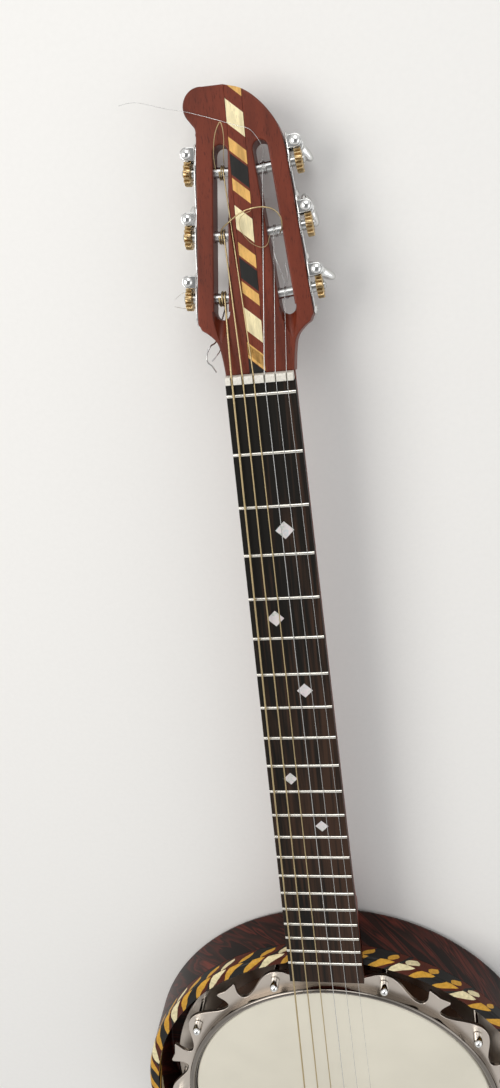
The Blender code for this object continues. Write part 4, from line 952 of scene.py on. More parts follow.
def build_neck():
    """Shaft, heel and headstock are joined, then everything that passes through is cut away."""
    shaft = np.linspace(NUT_BACK_Y - 6, HEEL_START_Y, 24)
    heel = HEEL_START_Y - (HEEL_START_Y - HEEL_TOE_Y) * np.sin(np.linspace(0.06, 1, 26) * np.pi / 2)
    wood = skinned(neck_rings(np.concatenate([[NUT_BACK_Y + 3], shaft, heel, [100.0]])))
    block = moved(tilted(), slab(headstock_outline(), -HEAD_THICK, 0, size("wood_round"), 5))
    half = VENEER_HALF + 0.2
    channel = box((VENEER_X - half, -5, -VENEER_DEPTH), (VENEER_X + half, 200, 5))
    cutters = [part for side, _ in SIDES for part in slot_cutters(side)]
    cutters += [roller_bore(*machine) for machine in MACHINES]
    cutters += [string_groove(index) for index in range(len(STRING_WIDTHS))]
    cutters += [moved(tilted(), channel)]
    steps = [("DIFFERENCE", turned(POT_ROOM, ROUND)), ("DIFFERENCE", stick_window(90, STICK_END_Y + GAP))]
    steps += [("UNION", block), *(("DIFFERENCE", cutter) for cutter in cutters)]
    piece("neck_carved", carved("neck_carved", wood, steps), "mahogany", ["neck"])


def strip_cells():
    """(first, last, finish) of each cell down the strip's left edge, as heights from the nut."""
    cells = []
    for repeat in (-1, 0, 1, 2):
        start = STRIP_TOP - repeat * STRIP_PERIOD
        shown = [cell for cell in STRIP_CELLS if start - cell[0] > 18.4]
        cells += [(start - first, start - last, look) for first, last, look in shown]
    return cells + [(18.0, 9.6, "tan"), (9.4, -8.0, "black")]


def cell_outline(high, low):
    """A slanting cell between two parallel lines, cut off by the nut and by the crown's curve."""
    crown = headstock_outline()
    crown = crown[(crown[:, 1] > 120) & (crown[:, 0] > -12)]
    crown = crown[np.argsort(crown[:, 0])]
    x = np.linspace(VENEER_X - VENEER_HALF, VENEER_X + VENEER_HALF, 25)
    fall = STRIP_SLANT * (x - x[0]) / (x[-1] - x[0])
    limit = np.interp(x, crown[:, 0], crown[:, 1]) - 0.1
    upper = np.clip(high - fall, 0.4, limit)
    lower = np.clip(low - fall, 0.4, limit)
    keep = upper - lower > 0.02
    return np.vstack([np.column_stack([x, lower])[keep], np.column_stack([x, upper])[keep][::-1]])


def build_strip():
    """The ground of the inlaid strip, then its cells, which stand a hair proud of it."""
    ground = slab(cell_outline(400.0, -40.0), GAP - VENEER_DEPTH, -0.02, 0.05, 1)
    piece("strip_ground", moved(tilted(), ground), "mahogany", ["headstock_strip"])
    for look in ("cream", "tan", "black"):
        outlines = [cell_outline(high, low) for high, low, kind in strip_cells() if kind == look]
        cells = [slab(outline, -0.6, 0.0, 0.08, 2) for outline in outlines if len(outline) > 4]
        piece(f"strip_{look}", moved(tilted(), joined(*cells)), f"{look}_veneer")


def build_fretboard():
    """The board tapers evenly. Each fret is half an ellipse carried across it, low at its two ends."""
    front = NUT_FRONT_Y - GAP
    ends = [(board_half(BOARD_END_Y), BOARD_END_Y), (board_half(front), front)]
    outline = ends + [(-x, y) for x, y in reversed(ends)]
    board = slab(outline, BOARD_LOW, BOARD_TOP, 0.5)
    piece("board_dark", board, "ebony", ["fretboard"])
    a = np.linspace(0, np.pi, 13)
    share = np.linspace(-1, 1, 13)
    fall = np.clip((np.abs(share) - 0.96) / 0.04, 0, 1)[:, None]
    crown = size("fret_width") / 2
    bars = []
    for y in fret_y(np.arange(FRETS + 1)):
        x = np.broadcast_to(share[:, None] * (board_half(y) - 0.25), (13, 13))
        z = BOARD_TOP - 0.2 + (1.2 - 0.35 * fall) * np.sin(a)[None]
        bars.append(skinned(np.stack([x, np.broadcast_to(y + crown * np.cos(a), x.shape), z], -1)))
    piece("fret_bars", joined(*bars), "fret_silver", sharp=50.0)
    diamonds = []
    for fret, x, share in DIAMONDS:
        y = (fret_y(fret) + fret_y(fret + 1)) / 2
        half = size("pearl") / 2 * share
        corners = np.array([(half, 0), (0, half), (-half, 0), (0, -half)])
        diamonds.append(moved(shift(x, y, 0), slab(corners, BOARD_TOP - 0.8, BOARD_TOP + 0.04, 0.03, 1)))
    piece("pearl_diamonds", joined(*diamonds), "pearl")


def build_nut():
    """A bone block along X. Its height at each x is the top less a round-bottomed slot per string."""
    slots = [(string_x(index, AT_NUT), width / 2 + 0.25) for index, width in enumerate(STRING_WIDTHS)]
    near = np.array([0.2, 0.6, 0.9, 1, 1.05])
    near = np.concatenate([-near[::-1], near])
    stations = [np.linspace(-NUT_HALF, NUT_HALF, 60)] + [middle + half * near for middle, half in slots]
    x = np.unique(np.round(np.concatenate(stations), 3))
    x = x[np.abs(x) <= NUT_HALF]
    limit = np.full_like(x, NUT_TOP_Z)
    for middle, half in slots:
        away = np.abs(x - middle) / half
        floor = NUT_SLOT_Z + half * (1 - np.sqrt(np.clip(1 - away**2, 0, 1)))
        limit = np.where(away <= 1.001, np.minimum(limit, floor), limit)
    front, back, low, base = NUT_FRONT_Y, NUT_BACK_Y, BOARD_LOW, FRET_TOP_Z - HEAD_DROP + GAP
    rear, fore, step = 1.7, 0.6, 1.2  # the radii of its top edges, and its step over the headstock
    top = arc((back - rear, NUT_TOP_Z - rear), rear, 0, 90, 6)
    top = np.vstack([top, arc((front + fore, NUT_TOP_Z - fore), fore, 90, 180, 4)])
    section = np.vstack([[(front, low), (back - step, low), (back - step, base), (back, base)], top])
    y = np.broadcast_to(section[:, 0], (len(x), len(section)))
    z = np.minimum(section[:, 1], limit[:, None])
    end = np.clip((np.abs(x) - NUT_HALF + 0.5) / 0.5, 0, 1)[:, None]
    z = np.where(z > base + 1, z - 0.35 * end**2, z)
    rings = np.stack([np.broadcast_to(x[:, None], y.shape), y, z], -1)
    piece("nut_bone", skinned(rings), "bone", ["nut"], sharp=40.0)


def strip_half(y):
    """Half the strip's width: a raised cosine with a pad at each machine, rounded off at its ends."""
    narrow, pad, last = 3.7, 2.3, 4.2
    wave = (0.5 + 0.5 * np.cos(2 * np.pi * y / MACHINE_STEP)) ** 0.8
    end = np.clip(STRIP_REACH - np.abs(y), 0, last)
    return (narrow + pad * wave) * np.sqrt(np.clip(1 - (1 - end / last) ** 2, 0.035, 1))


def lug(side, step, end):
    """An ear with a domed round edge that holds one end of the worm."""
    inner = GAP + STRIP_THICK / 2 - GEAR_OUT
    low, high = sorted((end * LUG_GAP, end * (LUG_GAP + LUG_THICK)))
    outline = np.vstack([[(inner, -LUG_HALF)], arc((0, 0), LUG_HALF, -90, 90, 24), [(inner, LUG_HALF)]])
    return moved(worm_frame(side, step), slab(outline * [side, 1], low, high, 0.55, 4))


def worm_cap(side, step):
    """A low dome on the front lug, over the worm's end."""
    radius, start = 2.9, LUG_GAP + LUG_THICK - 0.1
    dome = arc((0, start), radius, 8, 84, 8) * [1, 0.5] + [0, start * 0.5]
    return moved(worm_frame(side, step), turned(np.vstack([[(radius, start)], dome]), 32))


def strip_plate(side):
    """An outline with soft edges that stands on the side face. Its ears are joined on, and then the
    holes for the rollers and the worms' shafts are cut."""
    y = np.linspace(-STRIP_REACH, STRIP_REACH, 121)
    half = strip_half(y)
    outline = np.concatenate([np.column_stack([half, y]), np.column_stack([-half, y])[::-1]])
    flat = slab(outline, GAP, GAP + STRIP_THICK, size("strip_round"), 3)
    steps = [("UNION", lug(side, step, end)) for step in (-1, 0, 1) for end in (-1, 1)]
    wide, slim = ROLLER_R + PLAY, WORM_SHAFT_R + PLAY
    bore = turned([(wide, -5), (wide, 5)], 40)
    bearing = turned([(slim, -12), (slim, LUG_GAP + LUG_THICK + 3)], 28)
    for step in (-1, 0, 1):
        steps.append(("DIFFERENCE", moved(roller_frame(side, step), bore)))
        steps.append(("DIFFERENCE", moved(worm_frame(side, step), bearing)))
    return moved(side_frame(side) @ turn("Y", side * 90), flat), steps


def strip_screws(side):
    """Four low domed heads, each with its slot turned its own way."""
    radius, start = size("screw"), GAP + STRIP_THICK
    dome = arc((0, start - radius * 0.75), radius * 1.25, 37, 86, 8)
    top = dome[:, 1].max()
    head = turned(np.vstack([[(radius, start - 0.3)], dome]), 28)
    groove = box((-3, -0.3, top - 0.45), (3, 0.3, top + 2))
    heads, grooves = [], []
    for place, twist in ((-47.2, 20), (-17.5, 75), (17.5, 130), (47.2, 50)):
        spot = side_frame(side) @ shift(0, place, 0) @ turn("Y", side * 90)
        heads.append(moved(spot, head))
        grooves.append(moved(spot @ turn("Z", twist), groove))
    return joined(*heads), [("DIFFERENCE", joined(*grooves))]


def build_strips():
    """A strip and its screws on each side of the headstock."""
    for side, row in SIDES:
        for name, parts, nodes in (
            (f"strip_plate_{row}", strip_plate(side), [f"machine_strip_{row}"]),
            (f"strip_screws_{row}", strip_screws(side), []),
        ):
            piece(name, carved(name, *parts), "chrome", nodes)


def build_caps():
    """Domed caps on the front ears. They belong to the strips, so they do not turn."""
    for side, row in SIDES:
        caps = [worm_cap(side, step) for step in (-1, 0, 1)]
        piece(f"worm_caps_{row}", joined(*caps), "chrome")


def gear_shape():
    """A worm wheel as rings round X. A ring's radius is its own base plus its share of the tooth
    height; the tooth is a clipped triangle wave of the angle, leaning with the thread."""
    tip, root = GEAR_R + 0.75 * GEAR_MODULE, GEAR_R - 1.15 * GEAR_MODULE
    bore, hub, ease, half = 2.45, 4.6, 0.35, GEAR_WIDTH / 2
    a = np.linspace(0, 2 * np.pi, GEAR_TEETH * 14, endpoint=False)
    lean = math.atan2(WORM_LEAD, 2 * math.pi * WORM_R)
    rings = [(-half, bore, 0), (-half, hub, 0), (-half, root - 0.1, 0), (-half, root - 0.1, 0.85)]
    rings += [(-half + ease, root, 1), (0, root, 1), (half - ease, root, 1), (half, root - 0.1, 0.85)]
    rings += [(half, root - 0.1, 0), (half, hub, 0), (half + ease, 4.2, 0), (half + ease, bore, 0)]
    x, base, share = (np.array(v)[:, None] for v in zip(*rings))
    twist = x * math.tan(lean) / GEAR_R
    phase = ((a[None] - twist) * GEAR_TEETH / (2 * np.pi)) % 1.0
    away = np.abs(phase - 0.5)
    tooth = np.clip((0.3 - away) / 0.19, 0, 1)
    tooth = tooth * tooth * (3 - 2 * tooth)
    radius = base + share * tooth * (tip - root)
    out = np.stack([np.broadcast_to(x, radius.shape), radius * np.cos(a), radius * np.sin(a)], -1)
    return skinned(out, wrap=True)


def worm_shape():
    """A cylinder whose radius rises by the thread's depth where z, less the lead times the angle's
    share of a turn, is near a whole number of leads."""
    tip, root = WORM_R + 0.68 * GEAR_MODULE, WORM_R - 1.1 * GEAR_MODULE
    reach = (WORM_LEAD * 3.42) / 2
    z = np.linspace(-reach, reach, 120)[:, None]
    a = np.linspace(0, 2 * np.pi, 40, endpoint=False)[None]
    phase = ((z - WORM_LEAD * (a + np.pi / 2) / (2 * np.pi)) / WORM_LEAD + 0.5) % 1.0 - 0.5
    rise = np.clip((0.2 - np.abs(phase)) / 0.11, 0, 1)
    fade = np.clip((reach - np.abs(z)) / 0.6, 0, 1)
    radius = root + (tip - root) * rise * rise * (3 - 2 * rise) * fade
    body = np.stack([radius * np.cos(a), radius * np.sin(a), np.broadcast_to(z, radius.shape)], -1)
    face = LUG_GAP - GAP
    low = [(WORM_SHAFT_R, -16.0), (WORM_SHAFT_R, -face), (root, -face)]
    high = [(root, face), (WORM_SHAFT_R, face), (WORM_SHAFT_R, LUG_GAP + LUG_THICK - 0.5)]
    ends = []
    for profile in (low, high):
        r, h = (np.array(v)[:, None] for v in zip(*profile))
        ends.append(np.stack([r * np.cos(a), r * np.sin(a), np.broadcast_to(h, (3, 40))], -1))
    return skinned(np.concatenate([ends[0], body, ends[1]]))


def button_shape():
    """Oval sections along Z. The half widths follow a smooth curve from a round collar to a wide
    wing, and each section is a superellipse."""
    outer = [(3.1, 2.9, 0.0), (3.2, 3.0, -0.8), (3.1, 2.8, -3.2), (5.8, 2.7, -5.0)]
    outer += [(9.2, 3.1, -7.8), (10.2, 3.3, -10.6), (8.8, 2.9, -12.9), (5.4, 1.7, -14.0)]
    bore = np.array([(1.8, 1.8, -6.4), (1.8, 1.8, -0.3), (2.1, 2.1, 0.0)])
    rows = np.concatenate([bore, curved(outer, 8)])
    a = np.linspace(0, 2 * np.pi, 56, endpoint=False)[None]
    power = np.where(rows[:, 0] > 4, 0.86, 1.0)[:, None]
    x = rows[:, :1] * np.sign(np.cos(a)) * np.abs(np.cos(a)) ** power
    y = rows[:, 1:2] * np.sign(np.sin(a)) * np.abs(np.sin(a)) ** power
    return skinned(np.stack([x, y, np.broadcast_to(rows[:, 2:] - BUTTON_START, x.shape)], -1))


def roller_shape():
    """A steel roller with eased ends, stepped down to the spigot that the wheel sits on."""
    inner, face = -(SLOT_IN + SLOT_HALF + 6.0), GEAR_OUT - GEAR_WIDTH / 2 - GAP
    spigot, end = 2.1, GEAR_OUT + GEAR_WIDTH / 2 + 0.5
    profile = [(2.6, inner), (ROLLER_R, inner + 0.5), (ROLLER_R, face), (spigot, face), (spigot, end)]
    return turned(profile, 40)


def wheel_screw():
    """The slotted screw that holds the wheel on the roller."""
    start = GEAR_OUT + GEAR_WIDTH / 2 + 0.4
    dome = arc((0, start - 1.2), 2.9, 34, 87, 8)
    head = turned(np.vstack([[(2.4, start)], dome]), 32)
    top = dome[:, 1].max()
    return carved("wheel_screw", head, [("DIFFERENCE", box((-4, -0.32, top - 0.55), (4, 0.32, top + 2)))])


def build_machines():
    """Six worms with their buttons and six wheels with their rollers, each on its own moving body."""
    gear, worm, button, roller = gear_shape(), worm_shape(), button_shape(), roller_shape()
    screw = wheel_screw()
    for side, step in MACHINES:
        which = tag(side, step)
        turning, following = f"worm_and_button_{which}", f"gear_and_roller_{which}"
        wheel = moved(gear_frame(side, step), gear)
        piece(f"wheel_{which}", wheel, "brass", [f"gear_{which}"], following)
        barrel = moved(roller_frame(side, step), roller)
        piece(f"barrel_{which}", barrel, "steel", [f"roller_{which}"], following)
        place = Matrix(roller_frame(side, step).tolist())
        head = screw.copy()
        head.transform(Matrix.Translation(place.translation * MM) @ place.to_3x3().to_4x4())
        piece(f"wheel_screw_{which}", head, "steel", (), following)
        thread = moved(worm_frame(side, step), worm)
        piece(f"thread_{which}", thread, "steel", [f"worm_{which}"], turning, 60.0)
        knob = moved(worm_frame(side, step) @ turn("Z", BUTTON_TURNS[side][step + 1]), button)
        piece(f"knob_{which}", knob, "chrome", [f"button_{which}"], turning)
    bpy.data.meshes.remove(screw)


def build_head():
    """The skin is turned: flat, over the rim's edge in a small curve, down its outside, round the hoop."""
    thick, bend = 0.6, 2.4
    outer = RIM_R + 0.9
    over = arc((outer - bend, HEAD_Z - bend), bend, 0, 90, 8)
    under = [(outer - 2.3, HEAD_Z - thick), (outer - thick, HEAD_Z - 2.5), (outer - thick, 38.3)]
    middle = outer + 1.4
    hoop = np.vstack([arc((middle, 39.3), 1.0, -90, 0, 4), arc((middle, 40.3), 1.0, 0, 90, 4)])
    profile = np.vstack([under, hoop, [(outer, COLLAR_LOW - GAP)], over, [(outer - 6, HEAD_Z)]])
    piece("skin_stretched", turned(profile, ROUND), "skin", ["drum_head"])


def plate_outline():
    """Polar curve of the cast plate: a raised-cosine lobe at each bolt and a two-horned tulip between,
    but a plain dip at the neck. Each tulip's horn nearest the neck is the pointed one."""
    reach, dip, rise = 13.0, 133.4, 14.9  # a lobe's half angle, the radius beside it, and its height
    a = np.linspace(0, reach, 22)
    lobe = np.column_stack([a, dip + rise * (0.5 + 0.5 * np.cos(np.pi * a / reach))])
    notch = [(reach, dip), (13.9, 133.6), (14.7, 134.9), (15.0, 137.2), (15.0, 140.0)]
    pointed = [(14.6, 143.2), (14.0, 146.6), (13.75, 148.6), (14.1, 149.3), (14.8, 148.7), (18.0, 147.0)]
    blunt = [(14.7, 143.6), (14.45, 146.0), (14.5, 147.6), (15.1, 148.4), (16.0, 148.0), (18.0, 147.0)]
    pointed, blunt = (np.vstack([lobe[:-1], curved(notch + tip, 4)]) for tip in (pointed, blunt))
    between = 360 / BOLTS
    parts = []
    for bolt in range(BOLTS):
        centre = between * (bolt + 0.5)
        near, far = (blunt, pointed) if centre < 180 else (pointed, blunt)
        left = lobe[::-1] if bolt == 0 else near[::-1][1:]
        right = lobe[1:] if bolt == BOLTS - 1 else far[1:]
        parts += [left * [-1, 1] + [centre, 0], right + [centre, 0]]
    polar = np.vstack(parts)
    angle, radius = np.radians(polar[:, 0]), polar[:, 1]
    return np.column_stack([radius * np.sin(angle), radius * np.cos(angle)])


def bolt_spots():
    """The middle of each bolt, evenly round the circle, with the neck between two of them."""
    angle = np.radians((np.arange(BOLTS) + 0.5) * 360 / BOLTS)
    return np.column_stack([BOLT_CIRCLE * np.sin(angle), BOLT_CIRCLE * np.cos(angle), np.zeros(BOLTS)])


def bolt_holes(low, high, sides):
    """One cutter for all the bolts' holes, from one height to another."""
    hole = turned([(BOLT_HOLE_R, low), (BOLT_HOLE_R, high)], sides)
    return joined(*(moved(shift(*spot), hole) for spot in bolt_spots()))


def build_collar():
    """A hoop that rises beside the skin and ends in a rolled bead, with a thin lip inside."""
    bead = size("bead")
    inner = RIM_R + 1.5
    wall = [(inner, COLLAR_LOW), (COLLAR_R, COLLAR_LOW), (COLLAR_R, PLATE_TOP + 0.7)]
    roll = arc((COLLAR_R - bead, COLLAR_TOP - bead), bead, -8, 196, 26)
    lip = [(inner + 0.95, 50.75), (inner + 0.45, 50.95), (inner, 50.6)]
    hoop = turned(np.vstack([wall, roll, lip]), ROUND * 2, True)
    # The bead's colour holds a painted dark reflection.
    piece("collar_rolled", hoop, "bright_nickel", sharp=50.0)


def build_bolts():
    """Ten turned bolts: a low head, a shank, and a tall nut that ends in a dome."""
    shank, dome = 2.0, 3.9
    seat = PLATE_TOP + GAP
    top = seat + NUT_TALL
    profile = [(3.1, 18.0), (3.4, 18.3), (3.4, 21.2), (shank, 21.2), (shank, seat)]
    profile += [(3.2, seat), (NUT_RADIUS, seat + 0.3), (NUT_RADIUS, top - dome)]
    t = np.linspace(0.08, 1.5, 12)
    crown = np.column_stack([NUT_RADIUS * np.cos(t), top - dome + dome * np.sin(t)])
    bolt = turned(np.vstack([profile, crown]), 48)
    for number, spot in enumerate(bolt_spots(), 1):
        shape = moved(shift(*spot), bolt)
        piece(f"bolt_bullet_{number}", shape, "chrome", [f"tension_bolt_{number}"])


def build_plate():
    """The cast plate with eased edges, the collar inside it, and the bolts."""
    body = slab(plate_outline(), PLATE_TOP - PLATE_THICK, PLATE_TOP, size("plate_round"), 4)
    bore = turned([(COLLAR_R - 2.2, 30), (COLLAR_R - 2.2, 60)], ROUND)
    cast = carved("plate_cast", body, [("DIFFERENCE", bore), ("DIFFERENCE", bolt_holes(30, 60, 24))])
    piece("plate_cast", cast, "nickel", ["tension_plate"], sharp=40.0)
    build_collar()
    build_bolts()


def neck_pocket():
    """The clearance that the heel needs through the bowl's wall and its edge."""
    z = np.array([HEEL_BOTTOM_Z - 0.6, 30.0, BINDING_TOP + 5])
    half = heel_half(162.5, z) + 0.6
    y = np.array([140.0, 140.0, 180.0, 180.0])
    x = half[:, None] * np.array([-1, 1, 1, -1])
    return skinned(np.stack([x, np.broadcast_to(y, x.shape), np.broadcast_to(z[:, None], x.shape)], -1))


def build_resonator():
    """A turned bowl with a round lower edge, a post in the middle, and a pocket for the heel."""
    outside, inside, floor = 5.0, 2.5, 5.0  # the radii of its two round edges, and the back's thickness
    inner = BOWL_R - BOWL_WALL
    top = BINDING_LOW - GAP
    edge = arc((BOWL_R - outside, outside), outside, -90, 0, 12)
    wall = [(BOWL_R, top), (inner, top), (inner, floor + inside)]
    cove = arc((inner - inside, floor + inside), inside, 0, -90, 6)
    bowl = turned(np.vstack([edge, wall, cove]), ROUND)
    post_top = STICK_LOW - GAP
    post = turned([(14.0, floor / 2), (14.0, post_top - 0.5), (13.5, post_top)], 64)
    wide, slim = SCREW_HEAD_R + GAP, SCREW_R + GAP
    hole = turned([(wide, -2), (wide, 1.8), (slim, 4.0), (slim, 40)], 40)
    steps = [("UNION", post), ("DIFFERENCE", hole), ("DIFFERENCE", neck_pocket())]
    piece("bowl_turned", carved("bowl_turned", bowl, steps), "rosewood", ["resonator"])


def build_binding():
    """The roped band: a square section with a well rounded outer corner, turned round the bowl."""
    soft, ease = size("binding_round"), 0.6
    inner = BOWL_R - BOWL_WALL
    corner = arc((BOWL_R - soft, BINDING_TOP - soft), soft, 0, 90, 10)
    edge = arc((inner + ease, BINDING_TOP - ease), ease, 90, 180, 3)
    profile = np.vstack([[(inner, BINDING_LOW), (BOWL_R, BINDING_LOW)], corner, edge])
    band = carved("rope_band", turned(profile, ROUND * 2, True), [("DIFFERENCE", neck_pocket())])
    piece("rope_band", band, "marquetry", ["rope_binding"])


def build_rim():
    """The maple hoop under the skin, with a shoulder outside that the bracket ring lies under."""
    shoulder, low, high, ease = RIM_R + 3.4, RING_TOP + GAP, 37.0, 1.8
    top = HEAD_Z - 0.9
    rim = [(RIM_INNER, 12.0), (RIM_R, 12.0), (RIM_R, low), (shoulder, low)]
    rim += [(shoulder, high - 0.4), (shoulder - 0.4, high), (RIM_R, high)]
    rim += [*arc((RIM_R - ease, top - ease), ease, 0, 90, 6), (RIM_INNER, top)]
    hoop = carved("rim_turned", turned(rim, ROUND, True), [("DIFFERENCE", stick_window(100, 140))])
    piece("rim_turned", hoop, "stained_maple", ["rim"])


def build_ring():
    """The flat ring that takes the bolts' lower ends. It is open where the heel passes."""
    a = np.pi / 2 - 2 * np.pi / RING_SIDES * np.linspace(2, RING_SIDES - 2, 193)
    ring = np.column_stack([np.cos(a), np.sin(a)])
    flat = slab(np.vstack([ring * RING_OUT, ring[::-1] * (RIM_R + GAP)]), RING_LOW, RING_TOP, 0.4, 2)
    flat = carved("ring_flat", flat, [("DIFFERENCE", bolt_holes(10, 40, 20))])
    piece("ring_flat", flat, "nickel", ["bracket_ring"])


def build_stick():
    """The dowel stick from the heel to the rim's tail, with the back screw's hole."""
    tail = GAP - math.cos(math.pi / RING_SIDES) * math.sqrt(RIM_INNER**2 - STICK_HALF**2)
    ends = [(-STICK_HALF, tail), (STICK_HALF, tail), (STICK_HALF, STICK_END_Y), (-STICK_HALF, STICK_END_Y)]
    hole = turned([(SCREW_R + GAP, -2), (SCREW_R + GAP, 30.3)], 24)
    stick = carved("stick_maple", slab(ends, STICK_LOW, STICK_TOP, 1.0), [("DIFFERENCE", hole)])
    piece("stick_maple", stick, "maple", ["dowel_stick"])


def build_screw():
    """The slotted screw that holds the bowl to the stick."""
    head, shank = SCREW_HEAD_R, SCREW_R
    screw = turned([(head - 0.3, 0), (head, 0.3), (head, 1.5), (shank, 3.7), (shank, 30.0)], 48)
    slot = box((-7, -0.6, -1), (7, 0.6, 0.9))
    cut = carved("screw_back", screw, [("DIFFERENCE", slot)])
    piece("screw_back", cut, "chrome", ["back_screw"])


def build_pot():
    """What is under the head: the rim, the bracket ring, the dowel stick and the back screw."""
    build_rim()
    build_ring()
    build_stick()
    build_screw()


def build_bridge():
    """A three-footed bridge: its front outline is extruded through its thickness, which thins from
    the feet to the strings, with eased edges and a dark cap."""
    low, high = HEAD_Z + GAP, HEAD_Z + BRIDGE_HEIGHT
    half, thick_low, thick_high = AT_BRIDGE + 5, 3.6, 1.3
    foot = [(half - 1.2, high - 1.8), (half + 0.2, high - 4), (half + 3, low + 3.4), (half + 3, low)]
    arch = [(half - 7, low), (half - 9, low + 4.6), (half - 16, low + 6.8)]
    arch += [(13, low + 6.8), (7.5, low + 4.6), (6, low)]
    right = np.vstack([foot, curved(arch, 6)])
    outline = anticlockwise(np.vstack([right, right[::-1] * [-1, 1]]))
    t = np.linspace(0, np.pi / 2, 4)
    inset = 0.45 * (1 - np.sin(t))
    depth = 1 - 0.25 * (1 - np.sin(t))
    inset = np.concatenate([inset, inset[::-1]])[:, None, None]
    depth = np.concatenate([depth, -depth[::-1]])[:, None]
    flat = outline[None] - inset * outward(outline)[None]
    thick = thick_low + (thick_high - thick_low) * (flat[..., 1] - low) / (high - low)
    rings = np.stack([flat[..., 0], -BRIDGE_BEHIND + depth * thick, flat[..., 1]], -1)
    piece("bridge_carved", skinned(rings), "maple", ["bridge"])
    cap = [(half - 1.3, high - 1.9), (half - 1.6, high - 0.15)]
    cap += [(-x, y) for x, y in reversed(cap)]
    bar = moved(shift(0, -BRIDGE_BEHIND, 0) @ turn("X", 90), slab(cap, -1.45, 1.45, 0.3, 3))
    piece("bridge_cap", bar, "ebony")


def build_tailpiece():
    """A plated tongue: a thin rounded strip carried along its side view, wider toward the strings.
    Each row of its path is a y, a z and a half width."""
    path = [(-136.0, 20.45, 7), (-150.6, 20.45, 8), (-152.6, 22.45, 8.5), (-152.6, 34.0, 8.8)]
    path += [(-152.6, 46.0, 9), (-151.2, 51.5, 11), (-146.8, 54.6, 15), (-137.0, 55.8, 20)]
    path += [(-128.0, 56.4, 25), (LIP_Y, 55.4, 28.5), (LIP_Y + 1.4, 59.2, 28.5)]
    path = curved(path, 8)
    run = np.gradient(path[:, :2], axis=0)
    run /= np.linalg.norm(run, axis=1, keepdims=True)
    normal = np.column_stack([-run[:, 1], run[:, 0]])
    a = np.linspace(0, 2 * np.pi, 40, endpoint=False)
    x = path[:, 2:3] * np.sign(np.cos(a)) * np.abs(np.cos(a)) ** 0.12
    rise = 0.75 * np.sign(np.sin(a)) * np.abs(np.sin(a)) ** 0.6
    y = path[:, :1] + normal[:, :1] * rise
    z = path[:, 1:2] + normal[:, 1:] * rise
    cuts = []
    for index, width in enumerate(STRING_WIDTHS):
        middle, half = string_x(index, AT_TAIL), width / 2 + 0.4
        low = (middle - half, LIP_Y - 2, LIP_Z - 0.6 - half)
        cuts.append(box(low, (middle + half, LIP_Y + 6, LIP_Z + 5)))
    tongue = skinned(np.stack([x, y, z], -1))
    tongue = carved("tail_plated", tongue, [("DIFFERENCE", joined(*cuts))])
    piece("tail_plated", tongue, "chrome", ["tailpiece"])


def string_path(index):
    """Straight from the tailpiece over bridge, zero fret and nut, then two turns round the roller."""
    rest = STRING_WIDTHS[index] / 2 + 0.1
    nut, touch, place, radius, rise, start, angle = string_course(index)
    tail = string_x(index, AT_TAIL)
    corners = [(tail, LIP_Y - 1.2, LIP_Z), (tail, LIP_Y + 3, LIP_Z)]
    corners += [(string_x(index, AT_BRIDGE), -BRIDGE_BEHIND, HEAD_Z + BRIDGE_HEIGHT + rest)]
    corners += [(nut[0], ZERO_FRET_Y, FRET_TOP_Z + rest), (nut[0], NUT_FRONT_Y, nut[2]), tuple(nut)]
    turns = np.linspace(0, 2, 97)
    a = angle - 2 * np.pi * turns
    coil = np.stack([start + rise * turns, radius * np.cos(a), radius * np.sin(a), np.ones_like(a)], -1)
    coil = (coil @ place.T)[:, :3]
    return np.vstack([corners, (nut + touch) / 2, coil])


def build_strings():
    """Three wound strings and three plain ones."""
    for index, width in enumerate(STRING_WIDTHS):
        look, slot = WOUND if index < 3 else PLAIN
        shape = tube(string_path(index), width / 2, 14)
        piece(f"wire_{index + 1}", shape, look, [f"string_{index + 1}"], sharp=70.0)


